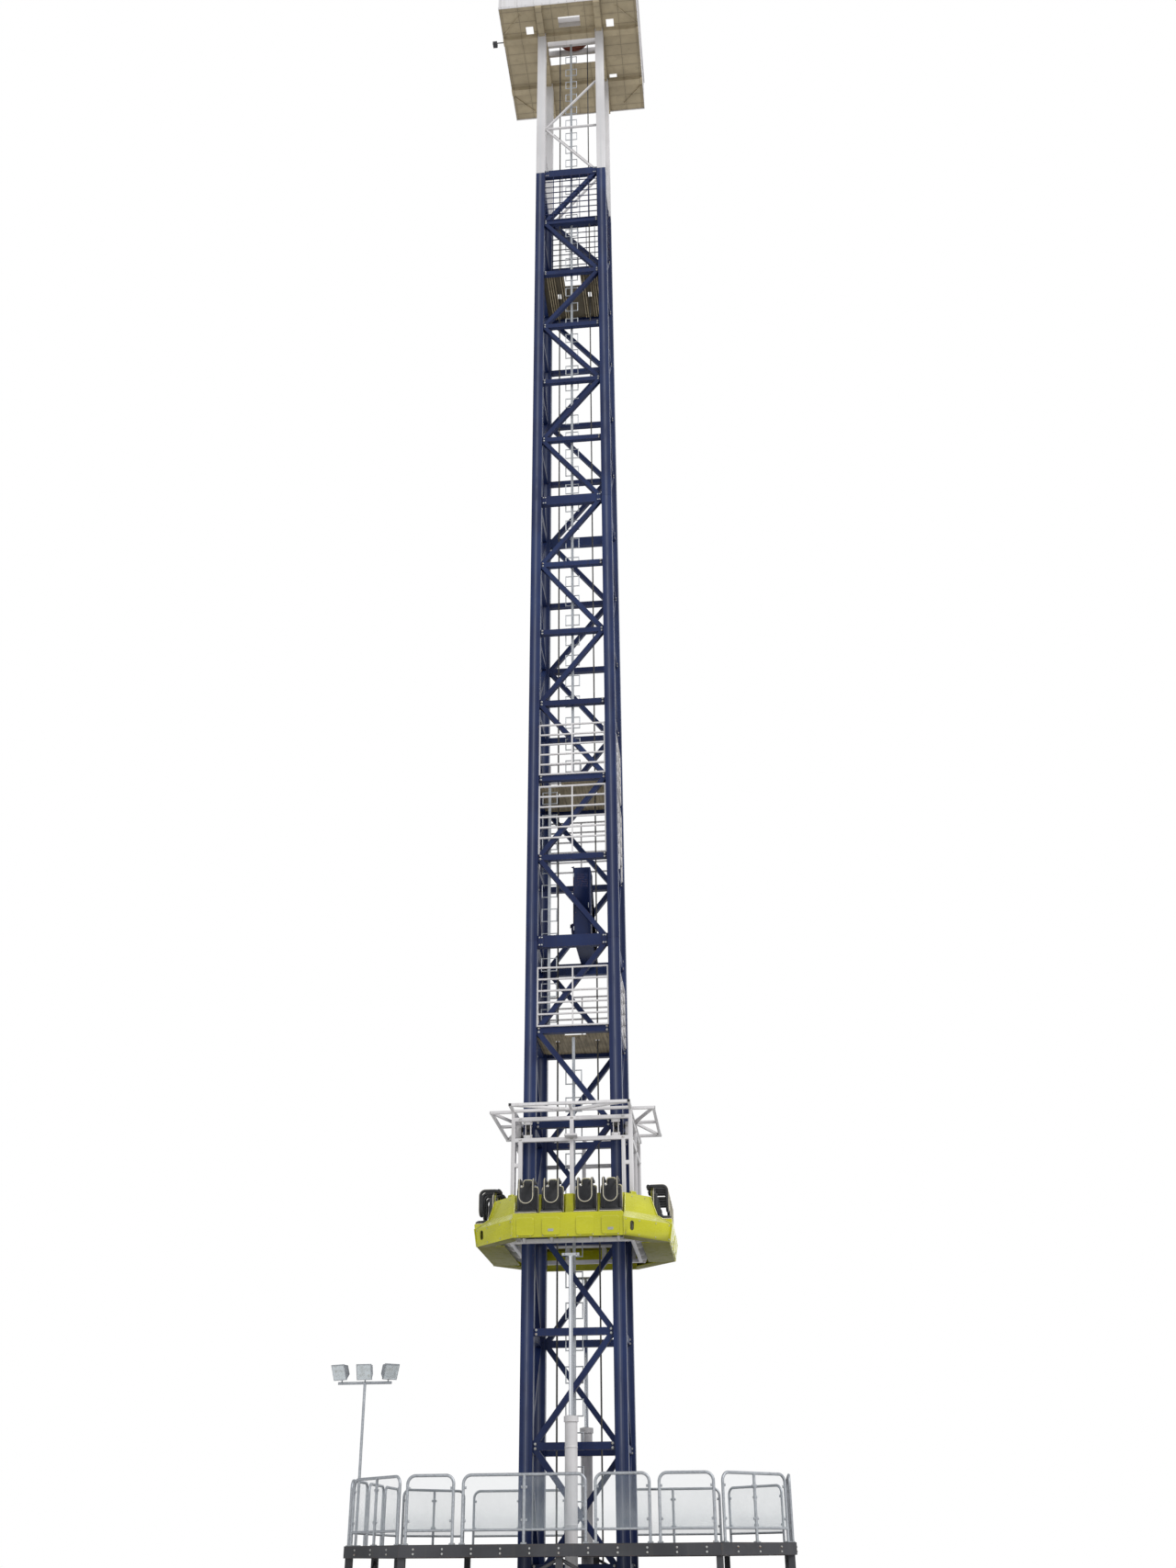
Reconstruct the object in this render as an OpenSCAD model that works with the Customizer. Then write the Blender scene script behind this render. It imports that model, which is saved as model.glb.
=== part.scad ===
// Free-fall drop tower ride, built at half of its real size.
// Z is up, the ride is seen from the -Y side, and the origin is under the middle of the base.

/* [Tower] */
// Outer width of the square tower
tower_w = 1054; // [980:2:1110]
// Outer width of one box column
column_w = 128; // [100:2:140]
// Wall thickness of the box columns
column_wall = 6; // [4:0.5:10]
// Thickness of the plate that closes each column joint
joint_plate = 16; // [8:1:24]
// Height of the lowest ring of bracing
first_level_z = 745; // [700:5:800]
// Height of one bay of bracing
bay_h = 1040; // [1000:5:1080]
// Height of an ordinary horizontal bar
rail_h = 70; // [50:2:90]
// Height of the doubled bar at a column joint
joint_rail_h = 140; // [110:2:160]
// Width of the diagonal bars
brace_w = 56; // [40:2:70]
// Thickness of the bracing across the face
brace_t = 60; // [40:2:80]

/* [Base] */
// Height of the ground beams
base_h = 160; // [120:5:200]
// Width of the ground beams
base_beam_w = 120; // [90:2:140]
// Length of the ground beams from left to right
base_x = 3700; // [3400:20:3900]
// Length of the ground beams from front to rear
base_y = 3000; // [2700:20:3200]
// Width of a base plate under a column
foot_w = 300; // [270:2:340]
// Thickness of the base plates
foot_t = 20; // [12:1:30]
// Spacing of the anchor holes in a base plate
anchor_pitch = 230; // [200:2:240]
// Diameter of an anchor hole
anchor_d = 22; // [16:1:30]

/* [Deck] */
// Width of the deck from left to right
deck_x = 4100; // [3900:20:4300]
// Depth of the deck from front to rear
deck_y = 3400; // [3250:20:3600]
// Length cut off each side at the corners of the deck
deck_cut = 650; // [550:10:750]
// Height of the walking surface
deck_z = 940; // [900:5:960]
// Thickness of the deck plates
deck_t = 8; // [5:1:12]
// Height of the edge beams
edge_h = 90; // [70:2:110]
// Thickness of the edge beams
edge_t = 40; // [30:2:60]
// Width of a deck leg
leg_w = 60; // [40:2:80]
// Gap between the deck plates and the tower
deck_gap = 20; // [10:1:40]

/* [Railing] */
// Height of the railing above the deck
rail_top = 560; // [500:5:600]
// Height of the bottom rail above the deck
rail_low = 110; // [80:5:150]
// Diameter of the railing tube
rail_d = 26; // [20:1:32]
// Radius of the bent upper corners
rail_bend = 70; // [50:5:90]
// Gap between neighbouring railing frames
rail_gap = 60; // [40:2:80]
// Distance of the railing from the edge of the deck
rail_inset = 30; // [25:1:45]
// Thickness of the infill sheet
infill_t = 4; // [3:0.5:6]

/* [Platform at the top] */
// Width of the top platform
platform_x = 2195; // [2100:5:2300]
// Depth of the top platform
platform_y = 2064; // [1950:5:2150]
// Height of the platform underside above the last ring of bracing
platform_rise = 143; // [120:1:170]
// Thickness of the platform floor
platform_t = 15; // [10:1:20]
// Height of the parapet panels
parapet_h = 600; // [500:10:700]
// Thickness of the parapet panels
parapet_t = 14; // [8:1:20]
// Depth of the ribs under the floor
rib_h = 70; // [50:1:90]
// Width of the ribs under the floor
rib_w = 100; // [80:2:120]
// Height of the columns above the platform underside
head_rise = 250; // [200:5:300]
// Height of the machine beams
beam_h = 120; // [100:2:140]
// Width of the machine beams
beam_w = 90; // [70:2:110]

/* [Hoist] */
// Distance between the two falls of a hoist rope
rope_span = 450; // [420:2:480]
// Diameter of a hoist rope
rope_d = 12; // [8:1:16]
// Spacing of the two hoist ropes
rope_pitch = 60; // [50:1:70]
// Diameter of the sheave shaft
shaft_d = 60; // [40:1:70]
// Running clearance of a shaft in its bearing
run_fit = 0.05; // [0.02:0.01:0.1]

/* [Buffer] */
// Clearance on both sides of a buffer, to the tube frame and to the seats
buffer_gap = 12; // [10:0.5:16]
// Outer diameter of the buffer cylinder
buffer_d = 120; // [110:1:124]
// Outer diameter of the cylinder cap
buffer_cap_d = 140; // [130:1:142]
// Height of the top of the cylinder
buffer_top = 2030; // [1980:5:2060]
// Diameter of the piston rod
buffer_rod_d = 44; // [36:1:50]
// Stroke of the piston rod
buffer_stroke = 1475; // [1400:5:1500]

/* [Carriage] */
// Height of the underside of the seat ring
carriage_z = 3650; // [3600:5:3800]
// Height of the seat base above the underside of the ring
seat_base_h = 230; // [215:1:245]
// Height of the yellow back panel above the underside of the ring
back_h = 455; // [430:1:470]
// Thickness of the moulded skins
skin = 8; // [5:0.5:10]
// Clearance between the tower and the outer face of the tube frame
frame_gap = 109; // [104:0.5:112]
// Size of the square tubes of the frame
tube_w = 40; // [30:1:44]
// Height of the top rail above the underside of the ring
frame_h = 1300; // [1250:5:1350]
// Reach of the outriggers beyond the frame
outrigger_reach = 240; // [200:5:270]
// Running clearance between a guide roller and its column
roller_gap = 5; // [5:0.5:8]
// Diameter of a guide roller
roller_d = 70; // [60:1:74]
// Width of a guide roller
roller_w = 40; // [30:1:46]

/* [Seats] */
// Width of one seat shell
seat_w = 220; // [200:1:228]
// Clearance between a seat and the ribs beside it
seat_side_gap = 7.75; // [5:0.25:12]
// Width of the rib between two seats
divider_w = 20; // [14:1:26]
// Depth of a seat row from its back panel to its edge
seat_depth = 216.5; // [205:0.5:230]
// Width of the strip in the middle of each row
strip_w = 85; // [70:1:90]
// Thickness of the seat cushion
cushion_t = 32; // [24:1:40]
// Thickness of the seat back
seat_back_t = 38; // [30:1:44]
// Diameter of the restraint tube with its padding
pad_d = 32; // [26:1:34]
// Distance between the two arms of a restraint
arm_span = 140; // [130:1:150]

/* [Lighting] */
// Height of the floodlight mast above the deck
mast_h = 1390; // [1200:10:1500]
// Length of the crossbar of the mast
mast_bar = 520; // [460:10:560]
// Width of a floodlight
lamp_w = 140; // [110:2:160]

/* [Hidden] */
$fn = 32;
eps = 1;
// Gap at which a piece rests against the piece that carries it
seat_gap = 0.3;
// Sides of the ride, counted from the front towards the right
FRONT = 0;
RIGHT = 1;
REAR = 2;
LEFT = 3;
SIDES = [FRONT, RIGHT, REAR, LEFT];

// Levels of the tower
section_bays = 6;
blue_bays = 18;
bays = 21;
function level_z(k) = first_level_z + bay_h * k;
column_c = (tower_w - column_w) / 2;
inner_half = tower_w / 2 - column_w;
brace_in = column_c - brace_t / 2;
top_bar_h = 28;
base_top = base_h + foot_t;
platform_z = level_z(bays) + platform_rise;
head_z = platform_z + head_rise;

// From the tower outwards: the tube frame, the buffers and the seats
frame_w = tower_w + 2 * frame_gap;
frame_half = frame_w / 2;
buffer_y = frame_half + buffer_gap + buffer_cap_d / 2;
back_in = buffer_y + buffer_cap_d / 2 + buffer_gap;
ring_half = back_in + seat_depth;
ring_w = 2 * ring_half;
seat_pitch = seat_w + divider_w + 2 * seat_side_gap;
row_len = 4 * seat_pitch + strip_w;
ring_cut = (ring_w - row_len) / 2;

// Colours
tower_blue = [0.07, 0.11, 0.32];
white_paint = [0.87, 0.87, 0.85];
beige = [0.72, 0.66, 0.52];
lemon = [0.80, 0.80, 0.10];
dark_steel = [0.13, 0.13, 0.14];
galvanised = [0.66, 0.68, 0.70];
seat_black = [0.05, 0.05, 0.055];

// Turns the children from the front to one of the four sides
module on_side(side) {
  rotate([0, 0, 90 * side]) children();
}

// Stands a flat outline upright, with its inner face at a distance from the middle
module upright(inner, thickness) {
  translate([0, -inner, 0]) rotate([90, 0, 0]) linear_extrude(thickness) children();
}

// Flat bar between two points of an outline
module strip(from, to, width) {
  run = to - from;
  translate(from) rotate(atan2(run[1], run[0])) translate([0, -width / 2]) square([norm(run), width]);
}

// Round bar between two points
module round_bar(from, to, diameter) {
  run = to - from;
  translate(from)
    rotate([0, acos(run[2] / norm(run)), atan2(run[1], run[0])])
      cylinder(h = norm(run), d = diameter);
}

// Profile of distance outwards and height, stretched along a side and centred on it
module side_profile(points, length) {
  translate([-length / 2, 0, 0])
    rotate([90, 0, 90])
      linear_extrude(length)
        polygon([for (p = points) [-p[0], p[1]]]);
}

// Rounded rectangle with true corner arcs
module rounded(width, height, radius) {
  translate([radius, 0]) square([width - 2 * radius, height]);
  translate([0, radius]) square([width, height - 2 * radius]);
  for (x = [radius, width - radius]) {
    for (y = [radius, height - radius]) translate([x, y]) circle(radius);
  }
}

module base_frame() {
  cross_y = buffer_y + buffer_cap_d;
  color(dark_steel) difference() {
    union() {
      linear_extrude(base_h) {
        for (s = [-1, 1]) {
          translate([s * column_c - base_beam_w / 2, -base_y / 2]) square([base_beam_w, base_y]);
          translate([-base_x / 2, s * column_c - base_beam_w / 2]) square([base_x, base_beam_w]);
        }
        translate([-base_beam_w / 2, -cross_y]) square([base_beam_w, 2 * cross_y]);
        translate([-column_c, -base_beam_w / 2]) square([2 * column_c, base_beam_w]);
      }
      for (x = [-column_c, column_c]) {
        for (y = [-column_c, column_c]) {
          translate([x - foot_w / 2, y - foot_w / 2, 0]) cube([foot_w, foot_w, foot_t]);
          translate([x - base_beam_w / 2 - foot_t, y - base_beam_w / 2 - foot_t, base_h])
            cube([base_beam_w + 2 * foot_t, base_beam_w + 2 * foot_t, foot_t]);
        }
      }
    }
    for (x = [-column_c, column_c]) {
      for (y = [-column_c, column_c]) {
        for (dx = [-anchor_pitch / 2, anchor_pitch / 2]) {
          for (dy = [-anchor_pitch / 2, anchor_pitch / 2]) {
            translate([x + dx, y + dy, -eps]) cylinder(h = foot_t + 2 * eps, d = anchor_d);
          }
        }
      }
    }
  }
}

// Four box columns from one height to another, each closed by a joint plate at its foot
module columns(from_z, to_z, paint) {
  bore = column_w - 2 * column_wall;
  for (x = [-column_c, column_c]) {
    for (y = [-column_c, column_c]) {
      color(paint) translate([x, y, from_z]) difference() {
        translate([-column_w / 2, -column_w / 2, 0]) cube([column_w, column_w, to_z - from_z]);
        translate([-bore / 2, -bore / 2, joint_plate]) cube([bore, bore, to_z - from_z]);
      }
    }
  }
}

module lower_columns() {
  columns(base_top, level_z(section_bays), tower_blue);
}

module middle_columns() {
  columns(level_z(section_bays), level_z(2 * section_bays), tower_blue);
}

module upper_columns() {
  columns(level_z(2 * section_bays), level_z(blue_bays), tower_blue);
}

module top_columns() {
  columns(level_z(blue_bays), head_z, white_paint);
}

// Height of the horizontal bar at one level
function bar_h(k) = k > blue_bays ? top_bar_h : k > 0 && k % section_bays == 0 ? joint_rail_h : rail_h;

// Horizontal bars, and single diagonals fitted between them that lean the other way in every next bay
module bracing_panel(bars, braced, lean, width, thickness) {
  upright(column_c - thickness / 2, thickness) {
    for (k = bars) square_at(-inner_half, level_z(k) - bar_h(k) / 2, 2 * inner_half, bar_h(k));
    for (k = braced) {
      side = (k + lean) % 2 == 0 ? -1 : 1;
      low = level_z(k) + bar_h(k) / 2 + seat_gap;
      high = level_z(k + 1) - bar_h(k + 1) / 2 - seat_gap;
      intersection() {
        square_at(-inner_half, low, 2 * inner_half, high - low);
        strip([side * inner_half, level_z(k + 1)], [-side * inner_half, level_z(k)], width);
      }
    }
  }
}

module blue_bracing(side) {
  color(tower_blue) on_side(side)
    bracing_panel([0:blue_bays], [0:blue_bays - 1], side % 2, brace_w, brace_t);
}

module front_bracing() {
  blue_bracing(FRONT);
}

module rear_bracing() {
  blue_bracing(REAR);
}

module left_bracing() {
  blue_bracing(LEFT);
}

module right_bracing() {
  blue_bracing(RIGHT);
}

// The white bays have lighter bars, and their highest bay has none
top_brace_w = 26;
top_brace_t = 26;

module top_bracing() {
  color(white_paint) for (side = SIDES) {
    on_side(side)
      bracing_panel([blue_bays + 1], [blue_bays, blue_bays + 1], side % 2, top_brace_w, top_brace_t);
  }
}

// Ladder with one box stile, whose rungs are joined in pairs at their outer ends
ladder_stile = [30, 30];
rung_pitch = 150;
rung_reach = 85;
rung_d = 12;
ladder_offset = -275;
ladder_levels = [0, 5, 8, 21];
ladder_x = [0, ladder_offset, 0];

module ladder_run(from_z, to_z) {
  stile_y = -brace_in + ladder_stile[1] / 2;
  rungs = floor((to_z - from_z) / rung_pitch / 2) * 2;
  translate([-ladder_stile[0] / 2, -brace_in, from_z])
    cube([ladder_stile[0], ladder_stile[1], to_z - from_z]);
  for (i = [0:rungs - 1]) {
    z = from_z + (i + 0.5) * rung_pitch;
    translate([-rung_reach, stile_y, z]) rotate([0, 90, 0]) cylinder(h = 2 * rung_reach, d = rung_d, $fn = 8);
    if (i % 2 == 0) {
      for (x = [-rung_reach, rung_reach]) {
        translate([x, stile_y, z - rung_d / 2]) cylinder(h = rung_pitch + rung_d, d = rung_d, $fn = 8);
      }
    }
  }
}

module ladder() {
  color(galvanised) for (i = [0:len(ladder_x) - 1]) {
    translate([ladder_x[i], 0, 0])
      ladder_run(level_z(ladder_levels[i]) + rail_h / 2, level_z(ladder_levels[i + 1]) - rail_h);
  }
}

// Floors fitted between the horizontal bars, with a hatch for the ladder and holes for the ropes
landing_levels = [5, 8, 16];
landing_t = 24;
hatch = [240, 250];
rope_hole = 50;

module landing(k) {
  half = brace_in;
  side = inner_half;
  hatch_x = k == ladder_levels[2] ? ladder_offset : 0;
  translate([0, 0, level_z(k) + bar_h(k) / 2 - landing_t]) linear_extrude(landing_t) difference() {
    union() {
      translate([-side, -half]) square([2 * side, 2 * half]);
      translate([-half, -side]) square([2 * half, 2 * side]);
    }
    translate([hatch_x - hatch[0] / 2, -brace_in - eps]) square(hatch);
    for (x = [-rope_span / 2, rope_span / 2]) {
      translate([x, 0]) square([rope_hole, rope_pitch + rope_hole], center = true);
    }
  }
}

module landings() {
  color(beige) for (k = landing_levels) landing(k);
}

// White guard frames with cross bars, set between the columns in front of the bracing
guard_bar = 16;
guard_h = 690;
guard_rails = 5;
guard_seats = [[5, 0], [7, 200], [8, 0]];
guard_t = 20;

module guard_outline(leg) {
  half = inner_half - seat_gap;
  for (x = [-half, -guard_bar / 2, half - guard_bar]) square_at(x, 0, guard_bar, leg + guard_h);
  for (i = [0:guard_rails]) {
    square_at(-half, leg + i * (guard_h - guard_bar) / guard_rails, 2 * half, guard_bar);
  }
}

module square_at(x, y, width, height) {
  translate([x, y]) square([width, height]);
}

module guard_panels() {
  color(white_paint) for (side = SIDES) {
    for (seat = guard_seats) {
      on_side(side) upright(brace_in + brace_t + seat_gap, guard_t)
        translate([0, level_z(seat[0]) + bar_h(seat[0]) / 2]) guard_outline(seat[1]);
    }
  }
}

// Grid that closes the last blue bay
mesh_bar = 10;
mesh_rows = 8;
mesh_columns = 6;
mesh_t = 10;
mesh_level = 17;

module mesh_guard() {
  low = level_z(mesh_level) + bar_h(mesh_level) / 2;
  high = level_z(mesh_level + 1) - bar_h(mesh_level + 1) / 2;
  half = inner_half - seat_gap;
  plane = brace_in + brace_t + seat_gap;
  color(tower_blue) for (side = SIDES) {
    on_side(side) upright(plane, mesh_t) {
      for (i = [0:mesh_rows]) square_at(-half, low + i * (high - low - mesh_bar) / mesh_rows, 2 * half, mesh_bar);
      for (i = [0:mesh_columns]) {
        square_at(-half + i * (2 * half - mesh_bar) / mesh_columns, low, mesh_bar, high - low);
      }
    }
  }
}

// Each rope runs up one side, over the head sheave and down the other side
sheave_z = head_z + beam_h + 160;

module hoist_ropes() {
  color(dark_steel) for (y = [-rope_pitch / 2, rope_pitch / 2]) {
    translate([0, y, 0]) {
      for (x = [-rope_span / 2, rope_span / 2]) {
        translate([x, 0, base_h]) cylinder(h = sheave_z - base_h, d = rope_d, $fn = 16);
      }
      translate([0, 0, sheave_z]) rotate([90, 0, 0])
        rotate_extrude(angle = 180, $fn = 64) translate([rope_span / 2, 0]) circle(d = rope_d, $fn = 16);
    }
  }
}

// Cabinet with a round deflection housing on the heavy frame of the first column joint
cabinet = [200, 260, 850];
cabinet_x = 0;
cabinet_dish = [135, 30];

module drive_cabinet() {
  low = level_z(section_bays) + joint_rail_h / 2;
  y = -brace_in;
  color(tower_blue) {
    translate([cabinet_x, y, low]) cube(cabinet);
    translate([cabinet_x - cabinet_dish[1], y + cabinet[1] / 2, low + cabinet_dish[0]])
      rotate([0, 90, 0]) cylinder(h = cabinet_dish[1] + eps, d = cabinet_dish[0]);
    translate([cabinet_x, -brace_in, low - landing_t]) cube([cabinet[0], 2 * brace_in, landing_t]);
  }
}

// Welded grid of beams on the column heads, with the two bearings of the head sheave
bearing_w = 40;
bearing_gap = 5;
sheave_w = rope_pitch + 60;

module machine_beams() {
  reach = platform_x / 2 - parapet_t;
  inner_y = sheave_w / 2 + bearing_gap + bearing_w / 2;
  color(white_paint) difference() {
    union() {
      translate([0, 0, head_z]) linear_extrude(beam_h) {
        for (s = [-1, 1]) {
          square_at(s * column_c - beam_w / 2, -column_c - beam_w / 2, beam_w, 2 * column_c + beam_w);
          square_at(-column_c - beam_w / 2, s * column_c - beam_w / 2, 2 * column_c + beam_w, beam_w);
          square_at(-column_c, s * inner_y - bearing_w / 2, 2 * column_c, bearing_w);
        }
      }
      for (s = [-1, 1]) {
        translate([0, s * inner_y - bearing_w / 2, 0]) {
          translate([-shaft_d, 0, head_z + beam_h - eps]) cube([2 * shaft_d, bearing_w, sheave_z - head_z - beam_h + eps]);
          translate([0, 0, sheave_z]) rotate([-90, 0, 0]) cylinder(h = bearing_w, r = shaft_d);
        }
      }
    }
    translate([0, -tower_w / 2, sheave_z]) rotate([-90, 0, 0]) cylinder(h = tower_w, d = shaft_d + 2 * run_fit);
  }
}

// Two-groove sheave with a spoked web, turning with its shaft
groove_gap = 0.5;
rim_depth = 36;
hub_r = 62;
spokes = 6;

module head_sheave() {
  groove_r = rope_span / 2 - rope_d / 2 - groove_gap;
  rim_r = rope_span / 2 + rope_d / 2;
  shaft_l = sheave_w + 2 * bearing_gap + 2 * bearing_w + 30;
  color([0.45, 0.20, 0.13]) translate([0, 0, sheave_z]) rotate([90, 0, 0]) {
    cylinder(h = shaft_l, d = shaft_d, center = true);
    cylinder(h = sheave_w - 2, r = hub_r, center = true);
    rotate_extrude($fn = 64) difference() {
      translate([groove_r - rim_depth, -sheave_w / 2]) square([rim_r - groove_r + rim_depth, sheave_w]);
      for (y = [-rope_pitch / 2, rope_pitch / 2]) {
        translate([rope_span / 2, y]) circle(r = rope_d / 2 + groove_gap);
        translate([rope_span / 2, y - rope_d / 2 - groove_gap]) square([rope_d, rope_d + 2 * groove_gap]);
      }
    }
    for (i = [0:spokes - 1]) {
      rotate([0, 0, i * 360 / spokes])
        translate([hub_r - eps * 4, -16, -12]) cube([groove_r - rim_depth - hub_r + eps * 8, 32, 24]);
    }
  }
}

// Floor of the top platform with its ribs, open in the front half of the tower
open_y = 75;
hatch_front = [350, 190];
hatch_front_in = 250;
hatch_small = [120, 140];
hatch_small_at = [column_c + 187, column_c + 132];
rear_hole_at = [column_c + 157, column_c - 133];

module platform_floor() {
  half_x = platform_x / 2;
  half_y = platform_y / 2;
  hole = column_w + 2 * seat_gap;
  color(beige) translate([0, 0, platform_z]) difference() {
    union() {
      linear_extrude(platform_t) square([platform_x, platform_y], center = true);
      translate([0, 0, -rib_h]) linear_extrude(rib_h + eps) {
        for (s = [-1, 1]) {
          square_at(-half_x, s * column_c - rib_w / 2, platform_x, rib_w);
          square_at(s * column_c - rib_w / 2, -half_y, rib_w, platform_y);
        }
      }
    }
    translate([0, 0, -rib_h - eps]) linear_extrude(rib_h + platform_t + 2 * eps) {
      for (x = [-column_c, column_c]) {
        for (y = [-column_c, column_c]) translate([x, y]) square(hole, center = true);
      }
    }
    translate([-inner_half, -column_c + rib_w / 2, -eps])
      cube([2 * inner_half, open_y + column_c - rib_w / 2, platform_t + 2 * eps]);
    translate([-hatch_front[0] / 2, -half_y + hatch_front_in, -eps]) cube([hatch_front[0], hatch_front[1], platform_t + 2 * eps]);
    for (s = [-1, 1]) {
      translate([s * hatch_small_at[0] - hatch_small[0] / 2, -hatch_small_at[1] - hatch_small[1] / 2, -eps])
        cube([hatch_small[0], hatch_small[1], platform_t + 2 * eps]);
    }
    translate([rear_hole_at[0] - hatch_small[0] / 2, rear_hole_at[1], -eps])
      cube([hatch_small[0], hatch_small[1] / 2, platform_t + 2 * eps]);
  }
}

module platform_parapet() {
  half_x = platform_x / 2;
  half_y = platform_y / 2;
  color(white_paint) translate([0, 0, platform_z + platform_t]) {
    for (s = [-1, 1]) {
      translate([-half_x, s * (half_y - parapet_t / 2) - parapet_t / 2, 0]) cube([platform_x, parapet_t, parapet_h]);
      translate([s * (half_x - parapet_t / 2) - parapet_t / 2, -half_y + parapet_t, 0])
        cube([parapet_t, platform_y - 2 * parapet_t, parapet_h]);
    }
  }
}

// Small lamp on an arm at the left edge
lamp_arm = 150;
lamp_box = [70, 80, 60];
lamp_y = -400;

module platform_lamp() {
  color(dark_steel) translate([-platform_x / 2, lamp_y, platform_z + platform_t]) {
    translate([-6, -30, 0]) cube([6, 60, 60]);
    translate([-lamp_arm, -6, 24]) cube([lamp_arm, 12, 12]);
    translate([-lamp_arm - lamp_box[0] / 2, -lamp_box[1] / 2, -lamp_box[2] + 30]) cube(lamp_box);
  }
}

// Octagonal outline of the deck, drawn in by a margin
function deck_outline(margin) =
  let (x = deck_x / 2 - margin, y = deck_y / 2 - margin, c = deck_cut - margin * (2 - sqrt(2)))
  [[-x + c, -y], [x - c, -y], [x, -y + c], [x, y - c], [x - c, y], [-x + c, y], [-x, y - c], [-x, -y + c]];

joist_pitch = 420;
joist_w = 30;
leg_foot = [120, 12];
brace_d = 30;

// Middle of the joists that run beside the tower
joist_c = tower_w / 2 + deck_gap + joist_w / 2;

// Edge beams with mitred ends, long joists beside the tower, and short joists fitted between them
module deck_frame() {
  rim = deck_outline(0);
  inside = deck_outline(edge_t);
  clear = joist_w / 2 + seat_gap;
  color(dark_steel) translate([0, 0, deck_z - deck_t - edge_h]) linear_extrude(edge_h) {
    for (i = [0:7]) {
      j = (i + 1) % 8;
      end_gap = (rim[j] - rim[i]) / norm(rim[j] - rim[i]) * seat_gap / 2;
      polygon([rim[i] + end_gap, rim[j] - end_gap, inside[j] - end_gap, inside[i] + end_gap]);
    }
    intersection() {
      polygon(deck_outline(edge_t + seat_gap));
      for (s = [-1, 1]) {
        square_at(-deck_x / 2, s * joist_c - joist_w / 2, deck_x, joist_w);
        for (x = [joist_c, each [joist_c + joist_pitch:joist_pitch:deck_x / 2 - joist_w]]) {
          square_at(s * x - joist_w / 2, clear - joist_c, joist_w, 2 * (joist_c - clear));
          square_at(s * x - joist_w / 2, joist_c + clear, joist_w, deck_y / 2);
          square_at(s * x - joist_w / 2, -joist_c - clear - deck_y / 2, joist_w, deck_y / 2);
        }
      }
    }
    for (x = [-column_c, column_c]) {
      for (s = [-1, 1]) {
        translate([x, s * (tower_w + deck_gap) / 2]) square([leg_w, deck_gap - 2 * seat_gap], center = true);
      }
    }
  }
}

// Legs under the edge beams, joined by braces along the four straight sides
module deck_legs() {
  top = deck_z - deck_t - edge_h - seat_gap;
  corners = deck_outline(edge_t / 2 + leg_w / 2);
  color(dark_steel) for (i = [0:2:6]) {
    a = corners[i];
    b = corners[i + 1];
    mid = (a + b) / 2;
    for (p = [a, mid, b]) {
      translate([p[0] - leg_w / 2, p[1] - leg_w / 2, 0]) cube([leg_w, leg_w, top]);
      translate([p[0] - leg_foot[0] / 2, p[1] - leg_foot[0] / 2, 0]) cube([leg_foot[0], leg_foot[0], leg_foot[1]]);
    }
    for (p = [a, b]) {
      round_bar([p[0], p[1], leg_foot[0]], [mid[0], mid[1], top - brace_d / 2], brace_d, $fn = 6);
    }
  }
}

// Four plates round the tower, with a hole for each buffer
buffer_hole_gap = 12;

module deck_plates() {
  hole = tower_w / 2 + deck_gap;
  seam = 1;
  color(dark_steel) translate([0, 0, deck_z - deck_t]) linear_extrude(deck_t) {
    difference() {
      intersection() {
        polygon(deck_outline(0));
        for (s = [-1, 1]) square_at(-deck_x / 2, s * (hole + deck_y / 2) - deck_y / 2, deck_x, deck_y);
      }
      for (s = [-1, 1]) translate([0, s * buffer_y]) circle(d = buffer_d + 2 * buffer_hole_gap);
    }
    intersection() {
      polygon(deck_outline(0));
      for (s = [-1, 1]) square_at(s * (hole + deck_x / 2) - deck_x / 2, -hole + seam, deck_x, 2 * (hole - seam));
    }
  }
}

// Widths of the railing frames along the front, the rear, a side and a cut corner
front_frames = [440, 1110, 500, 500];
rear_frames = [1020, 0, 1020];
entrance_w = 640;
side_frames = [640, 640, 640];

function sum_to(list, n) = n <= 0 ? 0 : list[n - 1] + sum_to(list, n - 1);

// Start of frame n in a row of frames that is centred on its side
function frame_start(list, gap, n) =
  -(sum_to(list, len(list)) + gap * (len(list) - 1)) / 2 + sum_to(list, n) + gap * n;

// One side of the deck: distance from the middle, direction, and the frames along it
corner_len = deck_cut * sqrt(2);
corner_far = (deck_x / 2 + deck_y / 2 - deck_cut) / sqrt(2);
corner_frame = corner_len - 2 * rail_gap;
rail_rows = [
  [0, deck_y / 2, 0, front_frames],
  [90, deck_x / 2, 0, side_frames],
  [180, deck_y / 2, 0, rear_frames],
  [270, deck_x / 2, 0, side_frames],
  for (a = [45, 135, 225, 315])
    [a, corner_far, (a % 180 == 45 ? 1 : -1) * (deck_x - deck_y) / 2 / sqrt(2), [corner_frame]]
];

// Places the children at the left end of each frame and passes its width on
module each_frame() {
  for (row = rail_rows) {
    frames = row[3];
    gap = len(frames) == 3 && frames[1] == 0 ? entrance_w / 2 : rail_gap;
    for (n = [0:len(frames) - 1]) {
      $frame_w = frames[n];
      if ($frame_w > 0) {
        rotate([0, 0, row[0]])
          translate([row[2] + frame_start(frames, gap, n), -row[1] + rail_inset, deck_z]) children();
      }
    }
  }
}

wide_frame = 700;
post_foot = [50, 40, 8];

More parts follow.
